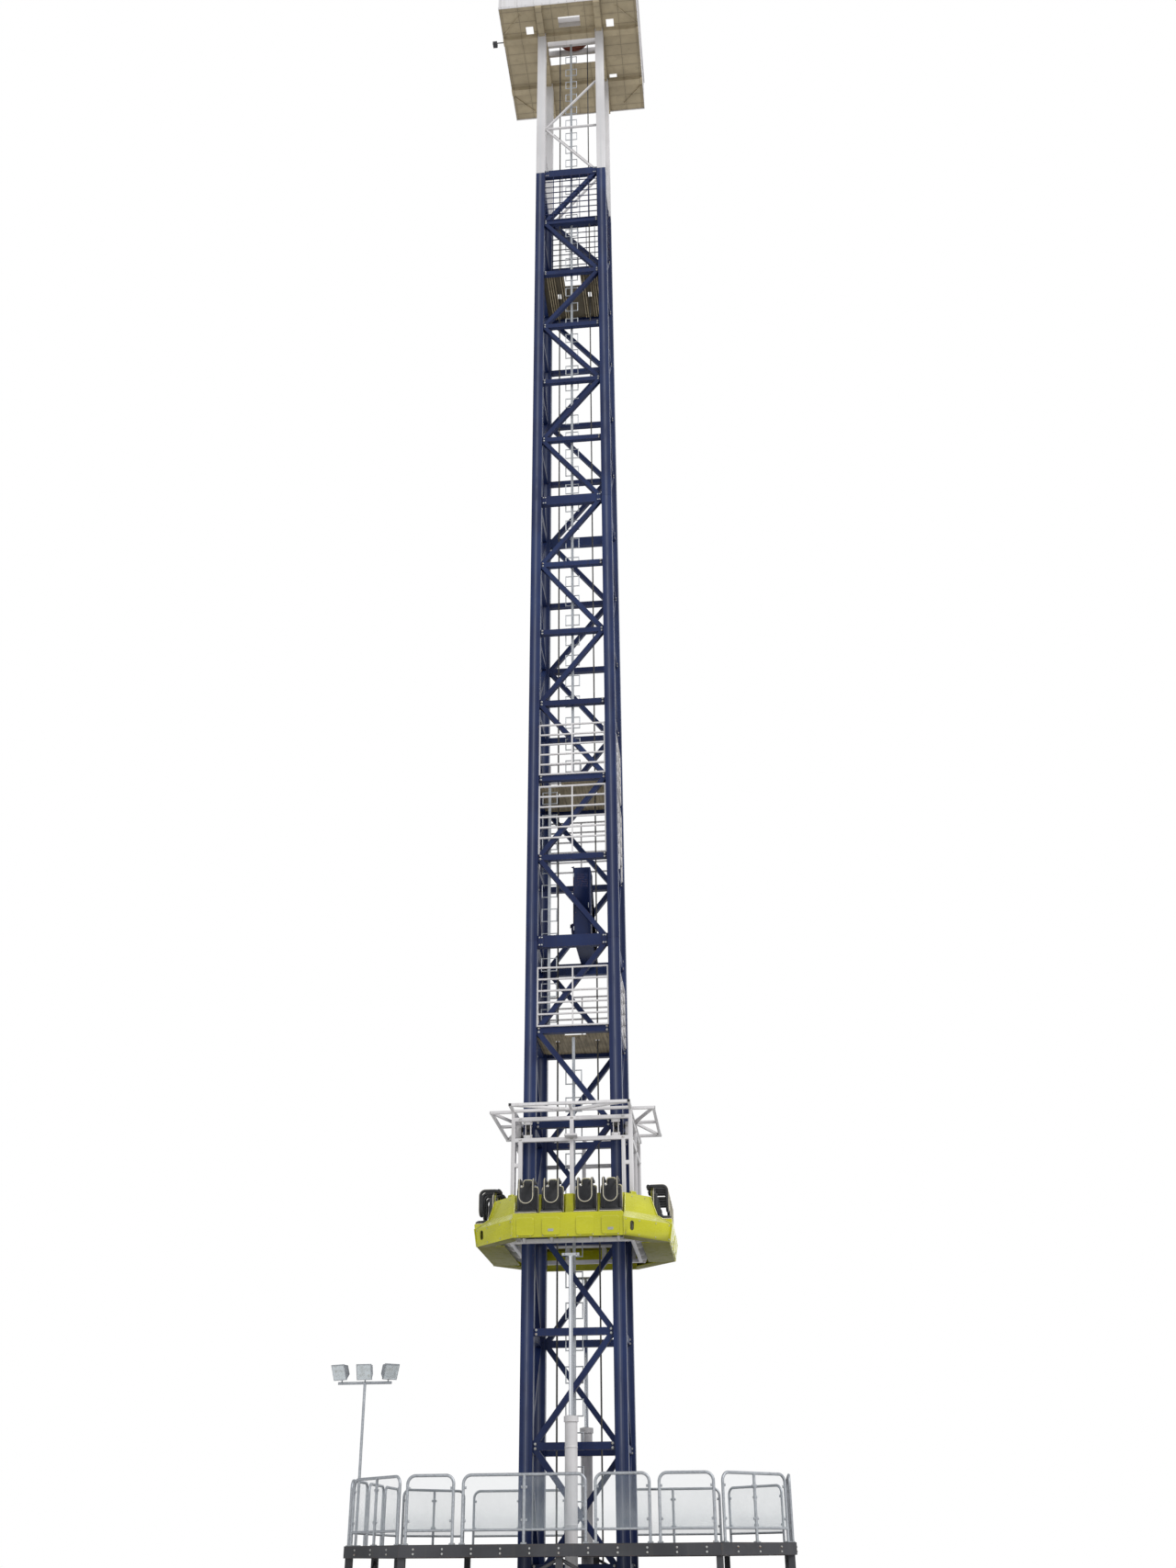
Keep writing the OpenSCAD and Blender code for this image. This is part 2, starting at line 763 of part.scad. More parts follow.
module rail_frame() {
  r = rail_d / 2;
  straight = $frame_w - 2 * r;
  bend_z = rail_top - r - rail_bend;
  posts = $frame_w > wide_frame ? [r, $frame_w / 2, $frame_w - r] : [r, $frame_w - r];
  for (x = posts) {
    high = x == $frame_w / 2 ? rail_top - r : bend_z;
    translate([x, 0, 0]) cylinder(h = high, r = r, $fn = 16);
    translate([x - post_foot[0] / 2, -post_foot[1] / 2, 0]) cube([post_foot[0], post_foot[1], post_foot[2]]);
  }
  for (s = [0, 1]) {
    translate([s == 0 ? r + rail_bend : $frame_w - r - rail_bend, 0, bend_z])
      rotate([90, 0, 0]) rotate([0, 0, s == 0 ? 90 : 0])
        rotate_extrude(angle = 90, $fn = 32) translate([rail_bend, 0]) circle(r = r, $fn = 16);
  }
  translate([r + rail_bend, 0, rail_top - r]) rotate([0, 90, 0])
    cylinder(h = straight - 2 * rail_bend, r = r, $fn = 16);
  translate([r, 0, rail_low]) rotate([0, 90, 0]) cylinder(h = straight, r = r * 0.8, $fn = 16);
}

module deck_railing() {
  color(galvanised) each_frame() rail_frame();
}

// Clear sheet inside a frame, with its upper corners rounded like the tube
module infill_sheet(width, round_left, round_right) {
  low = rail_low + rail_d / 2 * 0.8 + seat_gap;
  high = rail_top - rail_d - seat_gap;
  radius = rail_bend - rail_d / 2 - seat_gap;
  translate([0, infill_t / 2, low]) rotate([90, 0, 0]) linear_extrude(infill_t) {
    square([width, high - low - radius]);
    square_at(round_left ? radius : 0, 0, width - (round_left ? radius : 0) - (round_right ? radius : 0), high - low);
    if (round_left) translate([radius, high - low - radius]) circle(radius);
    if (round_right) translate([width - radius, high - low - radius]) circle(radius);
  }
}

module railing_infill() {
  color([0.75, 0.78, 0.80, 0.4]) each_frame() {
    clear = rail_d + seat_gap;
    if ($frame_w > wide_frame) {
      half = $frame_w / 2 - rail_d / 2 - seat_gap - clear;
      translate([clear, 0, 0]) infill_sheet(half, true, false);
      translate([$frame_w - clear - half, 0, 0]) infill_sheet(half, false, true);
    } else {
      translate([clear, 0, 0]) infill_sheet($frame_w - 2 * clear, true, true);
    }
  }
}

// Buffer: a cylinder on the ground beam, and a piston rod that carries a T-shaped head
buffer_wall = 10;
gland_h = 50;
piston_h = 60;
buffer_head = [175, 60, 25];
park_gap = 5;
buffer_foot = [170, 20];

module buffer_cylinders() {
  bore_d = buffer_d - 2 * buffer_wall;
  color(white_paint) for (s = [-1, 1]) {
    translate([0, s * buffer_y, base_h]) difference() {
      union() {
        translate([-buffer_foot[0] / 2, -buffer_foot[0] / 2, 0]) cube([buffer_foot[0], buffer_foot[0], buffer_foot[1]]);
        cylinder(h = buffer_top - base_h, d = buffer_d);
        translate([0, 0, buffer_top - base_h - gland_h]) cylinder(h = gland_h, d = buffer_cap_d);
      }
      translate([0, 0, buffer_foot[1]]) cylinder(h = buffer_top - base_h - buffer_foot[1] - gland_h, d = bore_d);
      cylinder(h = buffer_top, d = buffer_rod_d + 2 * run_fit);
    }
  }
}

module buffer_rods() {
  head_low = buffer_top + park_gap + buffer_stroke;
  rod_low = base_h + buffer_foot[1] + park_gap + buffer_stroke;
  color(galvanised) for (s = [-1, 1]) {
    translate([0, s * buffer_y, 0]) {
      translate([0, 0, rod_low]) cylinder(h = head_low - rod_low + eps, d = buffer_rod_d);
      translate([0, 0, rod_low]) cylinder(h = piston_h, d = buffer_d - 2 * buffer_wall - 2 * run_fit);
      translate([-buffer_head[0] / 2, -buffer_head[1] / 2, head_low]) cube(buffer_head);
    }
  }
}

// Mast with three floodlights at the left front corner of the deck
mast_d = 26;
mast_at = [95 - deck_x / 2, 695 - deck_y / 2];
lamp_t = 60;
lamp_tilt = 25;
lamp_turn = [-20, 0, 35];

module floodlight_mast() {
  color(galvanised) translate([mast_at[0], mast_at[1], deck_z]) {
    translate([-40, -40, 0]) cube([80, 80, 8]);
    cylinder(h = mast_h, d = mast_d, $fn = 16);
    translate([-mast_bar / 2, 0, mast_h]) rotate([0, 90, 0]) cylinder(h = mast_bar, d = mast_d, $fn = 16);
    for (i = [-1:1]) {
      translate([i * (mast_bar - lamp_w / 2) / 2, 0, mast_h]) cylinder(h = 2 * mast_d, d = mast_d / 2, $fn = 16);
    }
  }
}

module floodlight() {
  rotate([lamp_tilt, 0, 0]) translate([-lamp_w / 2, -lamp_t, 0]) {
    rotate([90, 0, 90]) linear_extrude(lamp_w)
      polygon([[0, 0], [lamp_t, lamp_w * 0.2], [lamp_t, lamp_w * 0.8], [0, lamp_w]]);
    translate([-4, -8, -4]) cube([lamp_w + 8, 8, lamp_w + 8]);
  }
}

module floodlights() {
  color(galvanised) translate([mast_at[0], mast_at[1], deck_z + mast_h + 2 * mast_d]) {
    for (i = [-1:1]) {
      translate([i * (mast_bar - lamp_w / 2) / 2, 0, seat_gap]) rotate([0, 0, lamp_turn[i + 1]])
        translate([0, lamp_t / 2, 4]) floodlight();
    }
  }
}

// Heights of the frame rails above the underside of the ring
low_rail_z = 30;
seat_rail_z = 200;
back_rail_z = 450;
unit_h = 180;
top_rail_z = frame_h - tube_w / 2;
mid_rail_z = top_rail_z - tube_w - unit_h;
short_rail_z = mid_rail_z - 260;
unit_w = 90;
post_gap = 12;
inner_post_x = column_c + unit_w / 2 + post_gap + tube_w / 2;

// One flat side of the tube frame; the left and right sides fit between the other two
module frame_side(half) {
  upright(frame_half - tube_w, tube_w) {
    for (z = [low_rail_z, seat_rail_z, back_rail_z, mid_rail_z, top_rail_z]) {
      square_at(-half, z - tube_w / 2, 2 * half, tube_w);
    }
    for (s = [-1, 1]) {
      square_at(s * (half - tube_w / 2) - tube_w / 2, low_rail_z, tube_w, frame_h - low_rail_z);
      square_at(s * inner_post_x - tube_w / 2, low_rail_z, tube_w, mid_rail_z - low_rail_z);
      square_at(s > 0 ? inner_post_x : -half, short_rail_z - tube_w / 2, half - inner_post_x, tube_w);
    }
    square_at(-tube_w / 2, back_rail_z, tube_w, frame_h - back_rail_z);
  }
}

function side_half(side) = side % 2 == 0 ? frame_half : frame_half - tube_w - seat_gap;

module carriage_frame() {
  color(white_paint) translate([0, 0, carriage_z])
    for (side = SIDES) on_side(side) frame_side(side_half(side));
}

// Flat K-braced outriggers on short stand-offs above the top rails
outrigger_t = 30;
standoff_h = 60;

module outriggers() {
  bar = outrigger_t;
  inner = frame_half - tube_w / 2;
  outer = frame_half + outrigger_reach - bar / 2;
  color(white_paint) translate([0, 0, carriage_z + frame_h]) {
    for (side = SIDES) {
      half = side_half(side) - bar / 2;
      on_side(side) {
        translate([0, 0, standoff_h]) linear_extrude(bar) {
          for (y = [-inner, -outer]) square_at(-half - bar / 2, y - bar / 2, 2 * half + bar, bar);
          for (x = [-half, 0, half]) square_at(x - bar / 2, -outer, bar, outer - inner);
          for (x = [-half, half]) strip([0, -inner], [x, -outer], bar * 0.8);
        }
        for (x = [-half, 0, half]) {
          translate([x - bar / 2, -inner - bar / 2, 0]) cube([bar, bar, standoff_h + eps]);
        }
      }
    }
  }
}

// Plates under the middle rail that meet the buffer heads
free_drop = 1175;
stop_size = [130, 20];

module buffer_stops() {
  head_top = buffer_top + park_gap + buffer_stroke + buffer_head[2];
  low = head_top + free_drop + park_gap;
  reach = buffer_y + buffer_head[1] / 2 + park_gap;
  color(white_paint) for (side = [FRONT, REAR]) {
    on_side(side) translate([-stop_size[0] / 2, -reach, low])
      cube([stop_size[0], reach - frame_half, stop_size[1]]);
  }
}

// Rows of four seats: a moulded shell with a base, a back and a sloping skirt
lip_t = 15;
skirt_in = 31;
skirt_lip = 40;
pan_in = back_in - 100;

// Section of a row as distance outwards and height; the pan closes the underside
function row_section(pan) =
  let (seat_z = seat_base_h, low = ring_half - skirt_in, edge = seat_z - lip_t)
  [
    [back_in, back_h], [back_in + skin, back_h], [back_in + skin, seat_z], [ring_half, seat_z],
    [ring_half, edge], [low, 0], [pan, 0], [pan, skin], [low - skin, skin],
    [ring_half - skin, edge], [ring_half - skin, seat_z - skin], [back_in, seat_z - skin]
  ];

function row_end() = [
  [back_in, back_h], [back_in + skin, back_h], [back_in + skin, seat_base_h], [ring_half, seat_base_h],
  [ring_half, seat_base_h - lip_t], [ring_half - skirt_in, 0], [back_in, 0]
];

divider_d = 42;
function seat_x(n) = n < 2 ? -(strip_w / 2 + (1.5 - n) * seat_pitch) : strip_w / 2 + (n - 1.5) * seat_pitch;

// A shaped rib between two seats, whose front edge slopes back to the top
module divider(width) {
  side_profile([
    [back_in + skin - eps, seat_base_h - eps], [back_in + skin + divider_d, seat_base_h - eps],
    [back_in + skin + divider_d * 0.5, back_h], [back_in + skin - eps, back_h]
  ], width);
}

module seat_row(pan) {
  side_profile(row_section(pan), row_len - 2 * seat_gap);
  for (s = [-1, 1]) {
    translate([s * (row_len / 2 - seat_gap - skin / 2), 0, 0]) side_profile(row_end(), skin);
    translate([s * (strip_w / 2 + seat_pitch), 0, 0]) divider(divider_w);
  }
  divider(strip_w);
}

module seat_rows() {
  color(lemon) translate([0, 0, carriage_z]) {
    for (side = SIDES) {
      on_side(side) seat_row(side % 2 == 0 ? ring_half - skirt_in - skirt_lip : pan_in);
    }
  }
}

// Corner fairings: an upper panel, a sloping shelf and a boxed lower edge with an oval slot
corner_half = ring_cut / sqrt(2);
corner_d = (2 * ring_half - ring_cut) / sqrt(2);
shelf_in = 105;
shelf_h = 262;
box_h = 205;
panel_in = 150;
fairing_low_in = 18;
fairing_back = back_in + 70;
slot_size = [40, 85];
slot_x = -205;

function fairing_section(s) = [
  [fairing_back, back_h], [corner_d - panel_in, back_h], [corner_d - shelf_in, shelf_h],
  [corner_d, box_h], [corner_d - fairing_low_in, 0], [corner_d - 170, 0], [corner_d - 170, s],
  [corner_d - fairing_low_in - s, s], [corner_d - s, box_h - s * 0.6], [corner_d - shelf_in - s * 0.6, shelf_h - s],
  [corner_d - panel_in - s, back_h - s], [fairing_back, back_h - s]
];

module corner_fairing() {
  end = row_len / 2;
  difference() {
    intersection() {
      side_profile(fairing_section(skin), 4 * corner_half);
      rotate([0, 0, 45]) translate([0, 0, -eps]) linear_extrude(back_h + 2 * eps)
        polygon([
          [-end, -ring_w], [-end, -back_in], [-back_in, -end], [-ring_w, -end], [-ring_w, -ring_w]
        ]);
    }
    translate([slot_x, -corner_d - eps, box_h / 2]) rotate([-90, 0, 0]) linear_extrude(3 * skin + 2 * eps) {
      square([slot_size[0], slot_size[1] - slot_size[0]], center = true);
      for (s = [-1, 1]) translate([0, s * (slot_size[1] - slot_size[0]) / 2]) circle(d = slot_size[0]);
    }
  }
}

module corner_fairings() {
  color(lemon) translate([0, 0, carriage_z])
    for (side = SIDES) rotate([0, 0, 90 * side + 45]) corner_fairing();
}

// Gusseted arms that carry the rows from the frame, and one to each corner
arm_w = 24;
arm_low = 12;
arm_tip = 26;
arm_inset = 73.5;
arm_step = 280;
arm_x = [for (s = [-1, 1]) for (i = [0, 1]) s * (row_len / 2 - arm_inset - i * arm_step)];

function arm_section(root, tip) = [
  [root, arm_low], [root, seat_base_h - skin - seat_gap], [tip, seat_base_h - skin - seat_gap],
  [tip, seat_base_h - skin - seat_gap - tube_w], [root + arm_tip, arm_low]
];

module seat_brackets() {
  color(white_paint) translate([0, 0, carriage_z]) {
    for (side = SIDES) {
      on_side(side) for (x = arm_x) {
        translate([x, 0, 0]) side_profile(arm_section(frame_half, ring_half - arm_tip), arm_w);
      }
      difference() {
        rotate([0, 0, 90 * side + 45]) side_profile([
          [frame_half, arm_low], [frame_half, box_h - skin - 2], [corner_d - shelf_in, box_h - skin - 2],
          [corner_d - shelf_in, box_h - skin - tube_w], [frame_half * sqrt(2) + arm_tip, arm_low]
        ], arm_w);
        translate([-frame_half, -frame_half, 0]) cube([frame_w, frame_w, seat_base_h]);
      }
    }
  }
}

// Cushion with a rounded nose and raised side edges
cushion_back_gap = 4;
nose_r = 16;

module seat_cushion() {
  back = back_in + skin + seat_back_t + cushion_back_gap;
  front = ring_half - 4;
  side_profile([[back, 0], [front - nose_r, 0], [front - nose_r, cushion_t], [back, cushion_t]], seat_w);
  translate([-seat_w / 2, -front + nose_r, nose_r]) rotate([0, 90, 0]) cylinder(h = seat_w, r = nose_r);
  for (s = [-1, 1]) {
    translate([s * (seat_w / 2 - 14), 0, cushion_t]) rotate([90, 0, 0])
      translate([0, 0, back]) cylinder(h = front - nose_r - back, r = 14);
  }
}

module seat_cushions() {
  color(seat_black) translate([0, 0, carriage_z + seat_base_h + seat_gap]) {
    for (side = SIDES) {
      on_side(side) for (n = [0:3]) translate([seat_x(n), 0, 0]) seat_cushion();
    }
  }
}

// Seat back with side wings and a headrest; two ears behind it hold the restraint's shaft
pivot_h = 575;
pivot_d = 24;
shoulder_h = 300;
head_w = 92;
head_top = 370;
wing_w = 30;
wing_t = 26;
wing_low = 52;
ear_x = 34;
ear_w = 16;
ear_r = 22;
pivot_y = back_in - ear_r;
ear_h = pivot_h - seat_base_h - seat_gap;

module seat_back() {
  plane = back_in + skin + seat_gap;
  difference() {
    union() {
      upright(plane, seat_back_t) {
        translate([-seat_w / 2, 0]) rounded(seat_w, shoulder_h, 34);
        translate([-head_w / 2, shoulder_h - 60]) rounded(head_w, head_top - shoulder_h + 60, 30);
      }
      for (s = [-1, 1]) {
        upright(plane + seat_back_t - eps, wing_t + eps)
          translate([s * (seat_w - wing_w) / 2 - wing_w / 2, wing_low])
            rounded(wing_w, shoulder_h - 30 - wing_low, wing_w / 2 - 1);
        translate([s * ear_x - ear_w / 2, -plane - eps, 0]) rotate([90, 0, 90]) linear_extrude(ear_w) {
          translate([plane + eps - pivot_y, ear_h]) circle(ear_r);
          square_at(0, ear_h - ear_r, plane + eps - pivot_y, 2 * ear_r);
        }
      }
    }
    translate([-seat_w / 2, -pivot_y, ear_h]) rotate([0, 90, 0])
      cylinder(h = seat_w, d = pivot_d + 2 * run_fit);
  }
}

module seat_backs() {
  color(seat_black) translate([0, 0, carriage_z + seat_base_h + seat_gap]) {
    for (side = SIDES) {
      on_side(side) for (n = [0:3]) translate([seat_x(n), 0, 0]) seat_back();
    }
  }
}

// Guide roller units at the columns, above and below the seats
unit_low = [mid_rail_z + tube_w / 2, seat_rail_z + tube_w / 2];
unit_high = [top_rail_z - tube_w / 2, back_rail_z - tube_w / 2];
plate_t = 12;
plate_h = 34;
plate_gap = 8;
cheek_t = 8;
axle_d = 14;
roller_axis = tower_w / 2 + roller_gap + roller_d / 2;
function roller_z(u, i) = (unit_low[u] + unit_high[u]) / 2 + (i == 0 ? -1 : 1) * (unit_high[u] - unit_low[u]) / 4;

// Repeats the children for each side, column and height of a guide unit
module each_unit() {
  for (side = SIDES) {
    for (s = [-1, 1]) {
      for ($unit = [0, 1]) on_side(side) translate([s * column_c, 0, 0]) children();
    }
  }
}

module guide_brackets() {
  plate_in = roller_axis + roller_d / 2 + plate_gap;
  color(white_paint) translate([0, 0, carriage_z]) each_unit() {
    low = unit_low[$unit] + seat_gap;
    high = unit_high[$unit] - seat_gap;
    for (z = [low, high - plate_h]) {
      translate([-unit_w / 2, -plate_in - plate_t, z]) cube([unit_w, plate_t, plate_h]);
    }
    for (s = [-1, 1]) {
      translate([s * (roller_w / 2 + 2 + cheek_t / 2) - cheek_t / 2, -plate_in - eps, low])
        cube([cheek_t, plate_in - roller_axis + axle_d + eps, high - low]);
    }
    for (i = [0, 1]) {
      translate([-roller_w / 2 - 3, -roller_axis, roller_z($unit, i)]) rotate([0, 90, 0])
        cylinder(h = roller_w + 6, d = axle_d);
    }
  }
}

// Crowned roller with a bore that clears its axle
module guide_rollers() {
  color(seat_black) translate([0, 0, carriage_z]) each_unit() {
    for (i = [0, 1]) {
      translate([0, -roller_axis, roller_z($unit, i)]) rotate([0, 90, 0]) rotate_extrude()
        polygon([
          [axle_d / 2 + seat_gap, -roller_w / 2], [roller_d / 2 - 3, -roller_w / 2], [roller_d / 2, -roller_w / 3],
          [roller_d / 2, roller_w / 3], [roller_d / 2 - 3, roller_w / 2], [axle_d / 2 + seat_gap, roller_w / 2]
        ]);
    }
  }
}

// Over-shoulder restraint: a shaft, two bent arms and a U-shaped lower end
arm_bend = 46;
arm_out = 190;
lap_h = 336;

module restraint(side, n) {
  r = pad_d / 2;
  half = arm_span / 2;
  fall_y = pivot_y + arm_out;
  u_z = lap_h + half;
  color(seat_black) translate([0, 0, carriage_z]) on_side(side) translate([seat_x(n), 0, 0]) {
    translate([-half, -pivot_y, pivot_h]) rotate([0, 90, 0]) cylinder(h = 2 * half, d = pivot_d);
    for (s = [-1, 1]) {
      translate([s * half, 0, 0]) {
        translate([0, -pivot_y, pivot_h]) sphere(r);
        translate([0, -pivot_y, pivot_h]) rotate([90, 0, 0]) cylinder(h = arm_out - arm_bend, r = r);
        translate([0, -fall_y + arm_bend, pivot_h - arm_bend]) rotate([0, -90, 0])
          rotate_extrude(angle = -90) translate([arm_bend, 0]) circle(r);
        translate([0, -fall_y, u_z]) cylinder(h = pivot_h - arm_bend - u_z, r = r);
      }
    }
    translate([0, -fall_y, u_z]) rotate([90, 0, 0])
      rotate([0, 0, 180]) rotate_extrude(angle = 180) translate([half, 0]) circle(r);
  }
}

module front_restraint_1() {
  restraint(FRONT, 0);
}

module front_restraint_2() {
  restraint(FRONT, 1);
}

module front_restraint_3() {
  restraint(FRONT, 2);
}

module front_restraint_4() {
  restraint(FRONT, 3);
}

module right_restraint_1() {
  restraint(RIGHT, 0);
}

module right_restraint_2() {
  restraint(RIGHT, 1);
}

module right_restraint_3() {
  restraint(RIGHT, 2);
}

module right_restraint_4() {
  restraint(RIGHT, 3);
}

module rear_restraint_1() {
  restraint(REAR, 0);
}

module rear_restraint_2() {
  restraint(REAR, 1);
}

module rear_restraint_3() {
  restraint(REAR, 2);
}

module rear_restraint_4() {
  restraint(REAR, 3);
}

module left_restraint_1() {
  restraint(LEFT, 0);
}

module left_restraint_2() {
  restraint(LEFT, 1);
}

module left_restraint_3() {
  restraint(LEFT, 2);
}

module left_restraint_4() {
  restraint(LEFT, 3);
}

base_frame();
lower_columns();
middle_columns();
upper_columns();
top_columns();
front_bracing();
rear_bracing();
left_bracing();
right_bracing();
top_bracing();
ladder();
landings();
guard_panels();
mesh_guard();
hoist_ropes();
drive_cabinet();
machine_beams();
head_sheave();
platform_floor();
platform_parapet();
platform_lamp();
deck_frame();
deck_legs();
deck_plates();
deck_railing();
railing_infill();
buffer_cylinders();
buffer_rods();
floodlight_mast();
floodlights();
carriage_frame();
outriggers();
buffer_stops();
seat_brackets();
seat_rows();
corner_fairings();
seat_cushions();
seat_backs();
guide_brackets();
guide_rollers();
front_restraint_1();
front_restraint_2();
front_restraint_3();
front_restraint_4();
right_restraint_1();
right_restraint_2();
right_restraint_3();
right_restraint_4();
rear_restraint_1();
rear_restraint_2();
rear_restraint_3();
rear_restraint_4();
left_restraint_1();
left_restraint_2();
left_restraint_3();
left_restraint_4();
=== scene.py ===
import math
from itertools import product

import bpy
from bpy.props import FloatProperty, FloatVectorProperty, IntProperty
from mathutils import Matrix, Vector


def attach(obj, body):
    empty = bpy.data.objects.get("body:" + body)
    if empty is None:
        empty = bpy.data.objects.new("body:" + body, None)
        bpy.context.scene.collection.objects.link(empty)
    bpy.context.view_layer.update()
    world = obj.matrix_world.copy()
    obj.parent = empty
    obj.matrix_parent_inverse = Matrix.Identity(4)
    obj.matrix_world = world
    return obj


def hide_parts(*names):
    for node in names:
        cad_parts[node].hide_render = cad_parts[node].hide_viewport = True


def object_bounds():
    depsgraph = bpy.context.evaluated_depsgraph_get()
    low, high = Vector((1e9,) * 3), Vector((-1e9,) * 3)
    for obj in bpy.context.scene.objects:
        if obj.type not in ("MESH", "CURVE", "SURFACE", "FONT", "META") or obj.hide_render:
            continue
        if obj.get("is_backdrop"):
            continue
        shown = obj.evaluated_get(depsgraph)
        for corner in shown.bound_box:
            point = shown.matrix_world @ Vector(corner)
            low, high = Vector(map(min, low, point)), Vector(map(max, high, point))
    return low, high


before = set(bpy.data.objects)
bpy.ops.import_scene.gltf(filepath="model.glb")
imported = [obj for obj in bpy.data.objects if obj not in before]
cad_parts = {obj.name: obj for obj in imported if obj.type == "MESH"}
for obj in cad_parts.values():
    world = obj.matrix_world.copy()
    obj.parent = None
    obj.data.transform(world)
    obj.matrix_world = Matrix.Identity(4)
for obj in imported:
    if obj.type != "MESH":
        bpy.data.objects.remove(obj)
CAD_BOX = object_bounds()

bl_info = {
    "name": "Drop tower ride",
    "version": (1, 0, 0),
    "blender": (4, 5, 0),
    "location": "3D View > Sidebar > Drop Tower",
    "description": "Dresses the drop tower's construction model with paint, seats, fasteners and stage",
    "category": "Object",
}

MM = 0.001

# Sizes of the construction model, in millimetres
COLUMN_C = 463
TOWER_HALF = 527
FIRST_LEVEL = 745
BAY = 1040
JOINT_LEVELS = (6, 12, 18)
BLUE_BAYS = 18
BRACE_OUT = 493
TOP_BRACE_OUT = 476
RIBBED_LEVEL = 16
PLATFORM_Z = 22728
PLATFORM = (2195, 2064)
HEAD_Z = 22978
SHEAVE_Z = 23258
DECK_Z = 940
RING_Z = 3650
RING_HALF = 1016.5
ROW_LEN = 1107
SEAT_BASE = 230
BACK_IN = 800
FRAME_HALF = 636
PIVOT = (778, 575)
ARM_OUT = 190
ARM_BEND = 46
LAP_H = 336
RING_CUT = 463
CORNER_D = (2 * RING_HALF - RING_CUT) / math.sqrt(2)
GUIDE_UNITS = ((1080, 1260), (220, 430))
ARM_SPAN = 140
SIDES = ("front", "right", "rear", "left")
STRIP_W = 85
SEAT_PITCH = (ROW_LEN / 2 - STRIP_W / 2) / 2
SEAT_SPOTS = ((-1, 1.5), (-1, 0.5), (1, 0.5), (1, 1.5))
SEAT_X = tuple(s * (STRIP_W / 2 + k * SEAT_PITCH) for s, k in SEAT_SPOTS)
BUFFER_Y = 718
BUFFER_TOP = 2030
MAST = (-1955, -1005)
MAST_H = 1390
BOX_H = 205
BOX_LEAN = 18
ROW_H = 215
ROW_LEAN = 31

# Turns from the front to each of the four sides
SIDE_TURNS = [Matrix.Rotation(math.pi / 2 * side, 4, "Z") for side in range(4)]


def level_z(k):
    """Height of one ring of bracing, in millimetres."""
    return FIRST_LEVEL + BAY * k


# Shader maths


def maths(operation, swapped=False):
    """A sum of the class below: one Math node on its values."""

    def work(self, *others):
        values = (*others, self) if swapped else (self, *others)
        return self.finish.node("Math", {"operation": operation}, dict(enumerate(values)))

    return work


class Value:
    """A socket that takes part in sums, so that a pattern reads as a formula."""

    __add__ = __radd__ = maths("ADD")
    __sub__ = maths("SUBTRACT")
    __rsub__ = maths("SUBTRACT", swapped=True)
    __mul__ = __rmul__ = maths("MULTIPLY")
    __truediv__ = maths("DIVIDE")
    __pow__ = maths("POWER")
    __abs__ = maths("ABSOLUTE")
    __gt__ = maths("GREATER_THAN")
    sine = maths("SINE")
    most = maths("MAXIMUM")
    least = maths("MINIMUM")
    direction = maths("ARCTAN2")

    def __init__(self, finish, socket):
        self.finish = finish
        self.socket = socket

    def wrap(self, span):
        """This value folded into -span/2 to span/2."""
        return self.finish.node("Math", {"operation": "WRAP"}, {0: self, 1: span / 2, 2: -span / 2})

    def ramp(self, low, high):
        """Smooth step from 0 at low to 1 at high."""
        values = {"Value": self, "From Min": low, "From Max": high}
        return self.finish.node("MapRange", {"interpolation_type": "SMOOTHSTEP"}, values)


